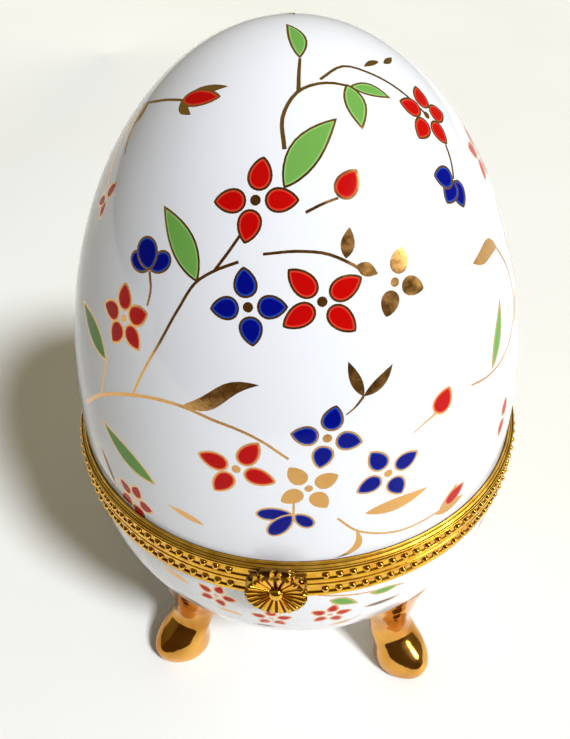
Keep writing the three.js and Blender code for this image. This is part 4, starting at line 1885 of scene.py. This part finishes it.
@dataclass(frozen=True)
class Softbox:
    """A lit rectangle.

    Attributes:
        name: Its name.
        place: Its middle, in metres.
        size: Width and height in metres.
        power: Watts.
        colour: Colour of its light.
        mirrored: Whether only glaze and gold see it; otherwise it only lights dull surfaces.
        towards: What it faces.
    """

    name: str
    place: tuple[float, float, float]
    size: tuple[float, float]
    power: float
    colour: str = "FFFFFF"
    mirrored: bool = False
    towards: tuple[float, float, float] = (0.0, 0.0, 0.05)

    def build(self) -> None:
        """Makes the light."""
        way = Vector(self.towards) - Vector(self.place)
        made = lamp(self.name, "AREA", self.power, self.colour, way)
        made.data.shape, made.data.size, made.data.size_y = "RECTANGLE", *self.size
        made.location = self.place
        made.visible_glossy, made.visible_diffuse = self.mirrored, not self.mirrored


@dataclass(frozen=True)
class Sun:
    """Even light from one side of the sky, which polish and glaze don't mirror.

    Attributes:
        name: Its name.
        comes_from: Where it comes from, as a direction.
        strength: Watts on each square metre.
        spread: Its width in radians.
        colour: Colour of its light.
    """

    name: str
    comes_from: tuple[float, float, float]
    strength: float
    spread: float
    colour: str = "FFFFFF"

    def build(self) -> None:
        """Makes the light."""
        made = lamp(self.name, "SUN", self.strength, self.colour, -Vector(self.comes_from))
        made.data.angle = self.spread
        made.visible_glossy = False


@dataclass(frozen=True)
class Card:
    """A card beside the object that the camera doesn't see.

    Attributes:
        name: Its name.
        foot: The two ends of its lower edge, across and deep, in metres.
        height: Its height in metres.
        colour: Its colour.
        shades: Whether it takes light away from dull surfaces; otherwise only polish and glaze see it.
    """

    name: str
    foot: tuple[tuple[float, float], tuple[float, float]]
    height: float
    colour: str
    shades: bool = False

    def build(self) -> None:
        """Makes the card."""
        dye = bpy.data.materials.new(self.name)
        dye.use_nodes = True
        dye.node_tree.nodes.clear()
        glow = add_node(dye.node_tree, "ShaderNodeEmission", {"in:Color": linear(self.colour)})
        add_node(dye.node_tree, "ShaderNodeOutputMaterial", Surface=glow)
        left, right = self.foot
        top = self.height
        card = sheet(self.name, [(*left, 0), (*right, 0), (*right, top), (*left, top)], dye)
        card.visible_camera = card.visible_shadow = card.visible_transmission = False
        card.visible_diffuse, card.visible_glossy = self.shades, not self.shades


@dataclass(frozen=True)
class Studio:
    """A pale floor in a dim room with a window on the right.

    Attributes:
        floor_side: Side of the floor in metres.
        overhead: What brass and glaze mirror above and behind the object.
        viewer: What they mirror in front of it.
        backdrop: What the camera sees past the floor.
        card_at: Distance of the dim card in front of the object, in metres.
    """

    floor_side: float = 6.0
    overhead: str = "787457"
    viewer: str = "54442D"
    backdrop: str = "F4F1E6"
    card_at: float = 0.24

    def build(self) -> None:
        """Makes floor, world and lights."""
        bpy.context.scene.view_settings.view_transform = "Standard"  # shows the enamels' own colours
        half = self.floor_side / 2
        corners = [(-half, -half, 0), (half, -half, 0), (half, half, 0), (-half, half, 0)]
        floor = sheet("floor", corners, BOARD.material())
        self._world()
        for prop in (
            Card("dim card", ((-0.5, -self.card_at), (0.5, -self.card_at)), 0.6, self.viewer),
            Card("flag", ((-0.14, -0.30), (-0.14, 0.35)), 0.45, "1A140C", shades=True),
            Sun("key", (0.55, -0.46, 0.70), 3.85, 0.2, "F2F6FF"),
            Softbox("ceiling", (-0.1, 0.1, 1.4), (2.2, 2.2), 7.0, "FFF0DC"),
            Softbox("window", (0.70, -0.30, 0.545), (0.09, 0.17), 3.4, mirrored=True),
            Softbox("curtain", (0.68, -0.33, 0.565), (0.42, 0.44), 5.0, "FFFAF0", mirrored=True),
        ):
            prop.build()

    def _world(self) -> None:
        """The room: a pale backdrop to the camera, and dim to everything that is lit or mirrors it."""
        world = bpy.data.worlds.new("room")
        bpy.context.scene.world = world
        world.use_nodes = True
        tree = world.node_tree
        tree.nodes.clear()
        way = add_node(tree, "ShaderNodeTexCoord").outputs["Generated"]
        to_viewer = {"operation": "DOT_PRODUCT", "in:1": (0.0, -0.9, -0.2)}
        towards = add_node(tree, "ShaderNodeVectorMath", to_viewer, i0=way).outputs["Value"]
        stops = ((0.0, self.overhead), (0.9, self.viewer))
        mirrored = add_node(tree, "ShaderNodeValToRGB", {"stops": stops}, Fac=towards)
        room = add_node(tree, "ShaderNodeBackground", Color=mirrored)
        wall = add_node(tree, "ShaderNodeBackground", {"in:Color": linear(self.backdrop)})
        seen = add_node(tree, "ShaderNodeLightPath").outputs["Is Camera Ray"]
        both = add_node(tree, "ShaderNodeMixShader", Fac=seen, i1=room, i2=wall)
        add_node(tree, "ShaderNodeOutputWorld", Surface=both)


def main() -> None:
    """Builds the box and its studio."""
    logging.basicConfig(level=logging.INFO, format="%(name)s: %(message)s")
    Viewpoint().build()
    Studio().build()
    Lid().build()
    Bowl().build()
    Feet().build()
    Band().build()
    Clasp().build()
    Hinge().build()


if __name__ == "__main__":
    main()
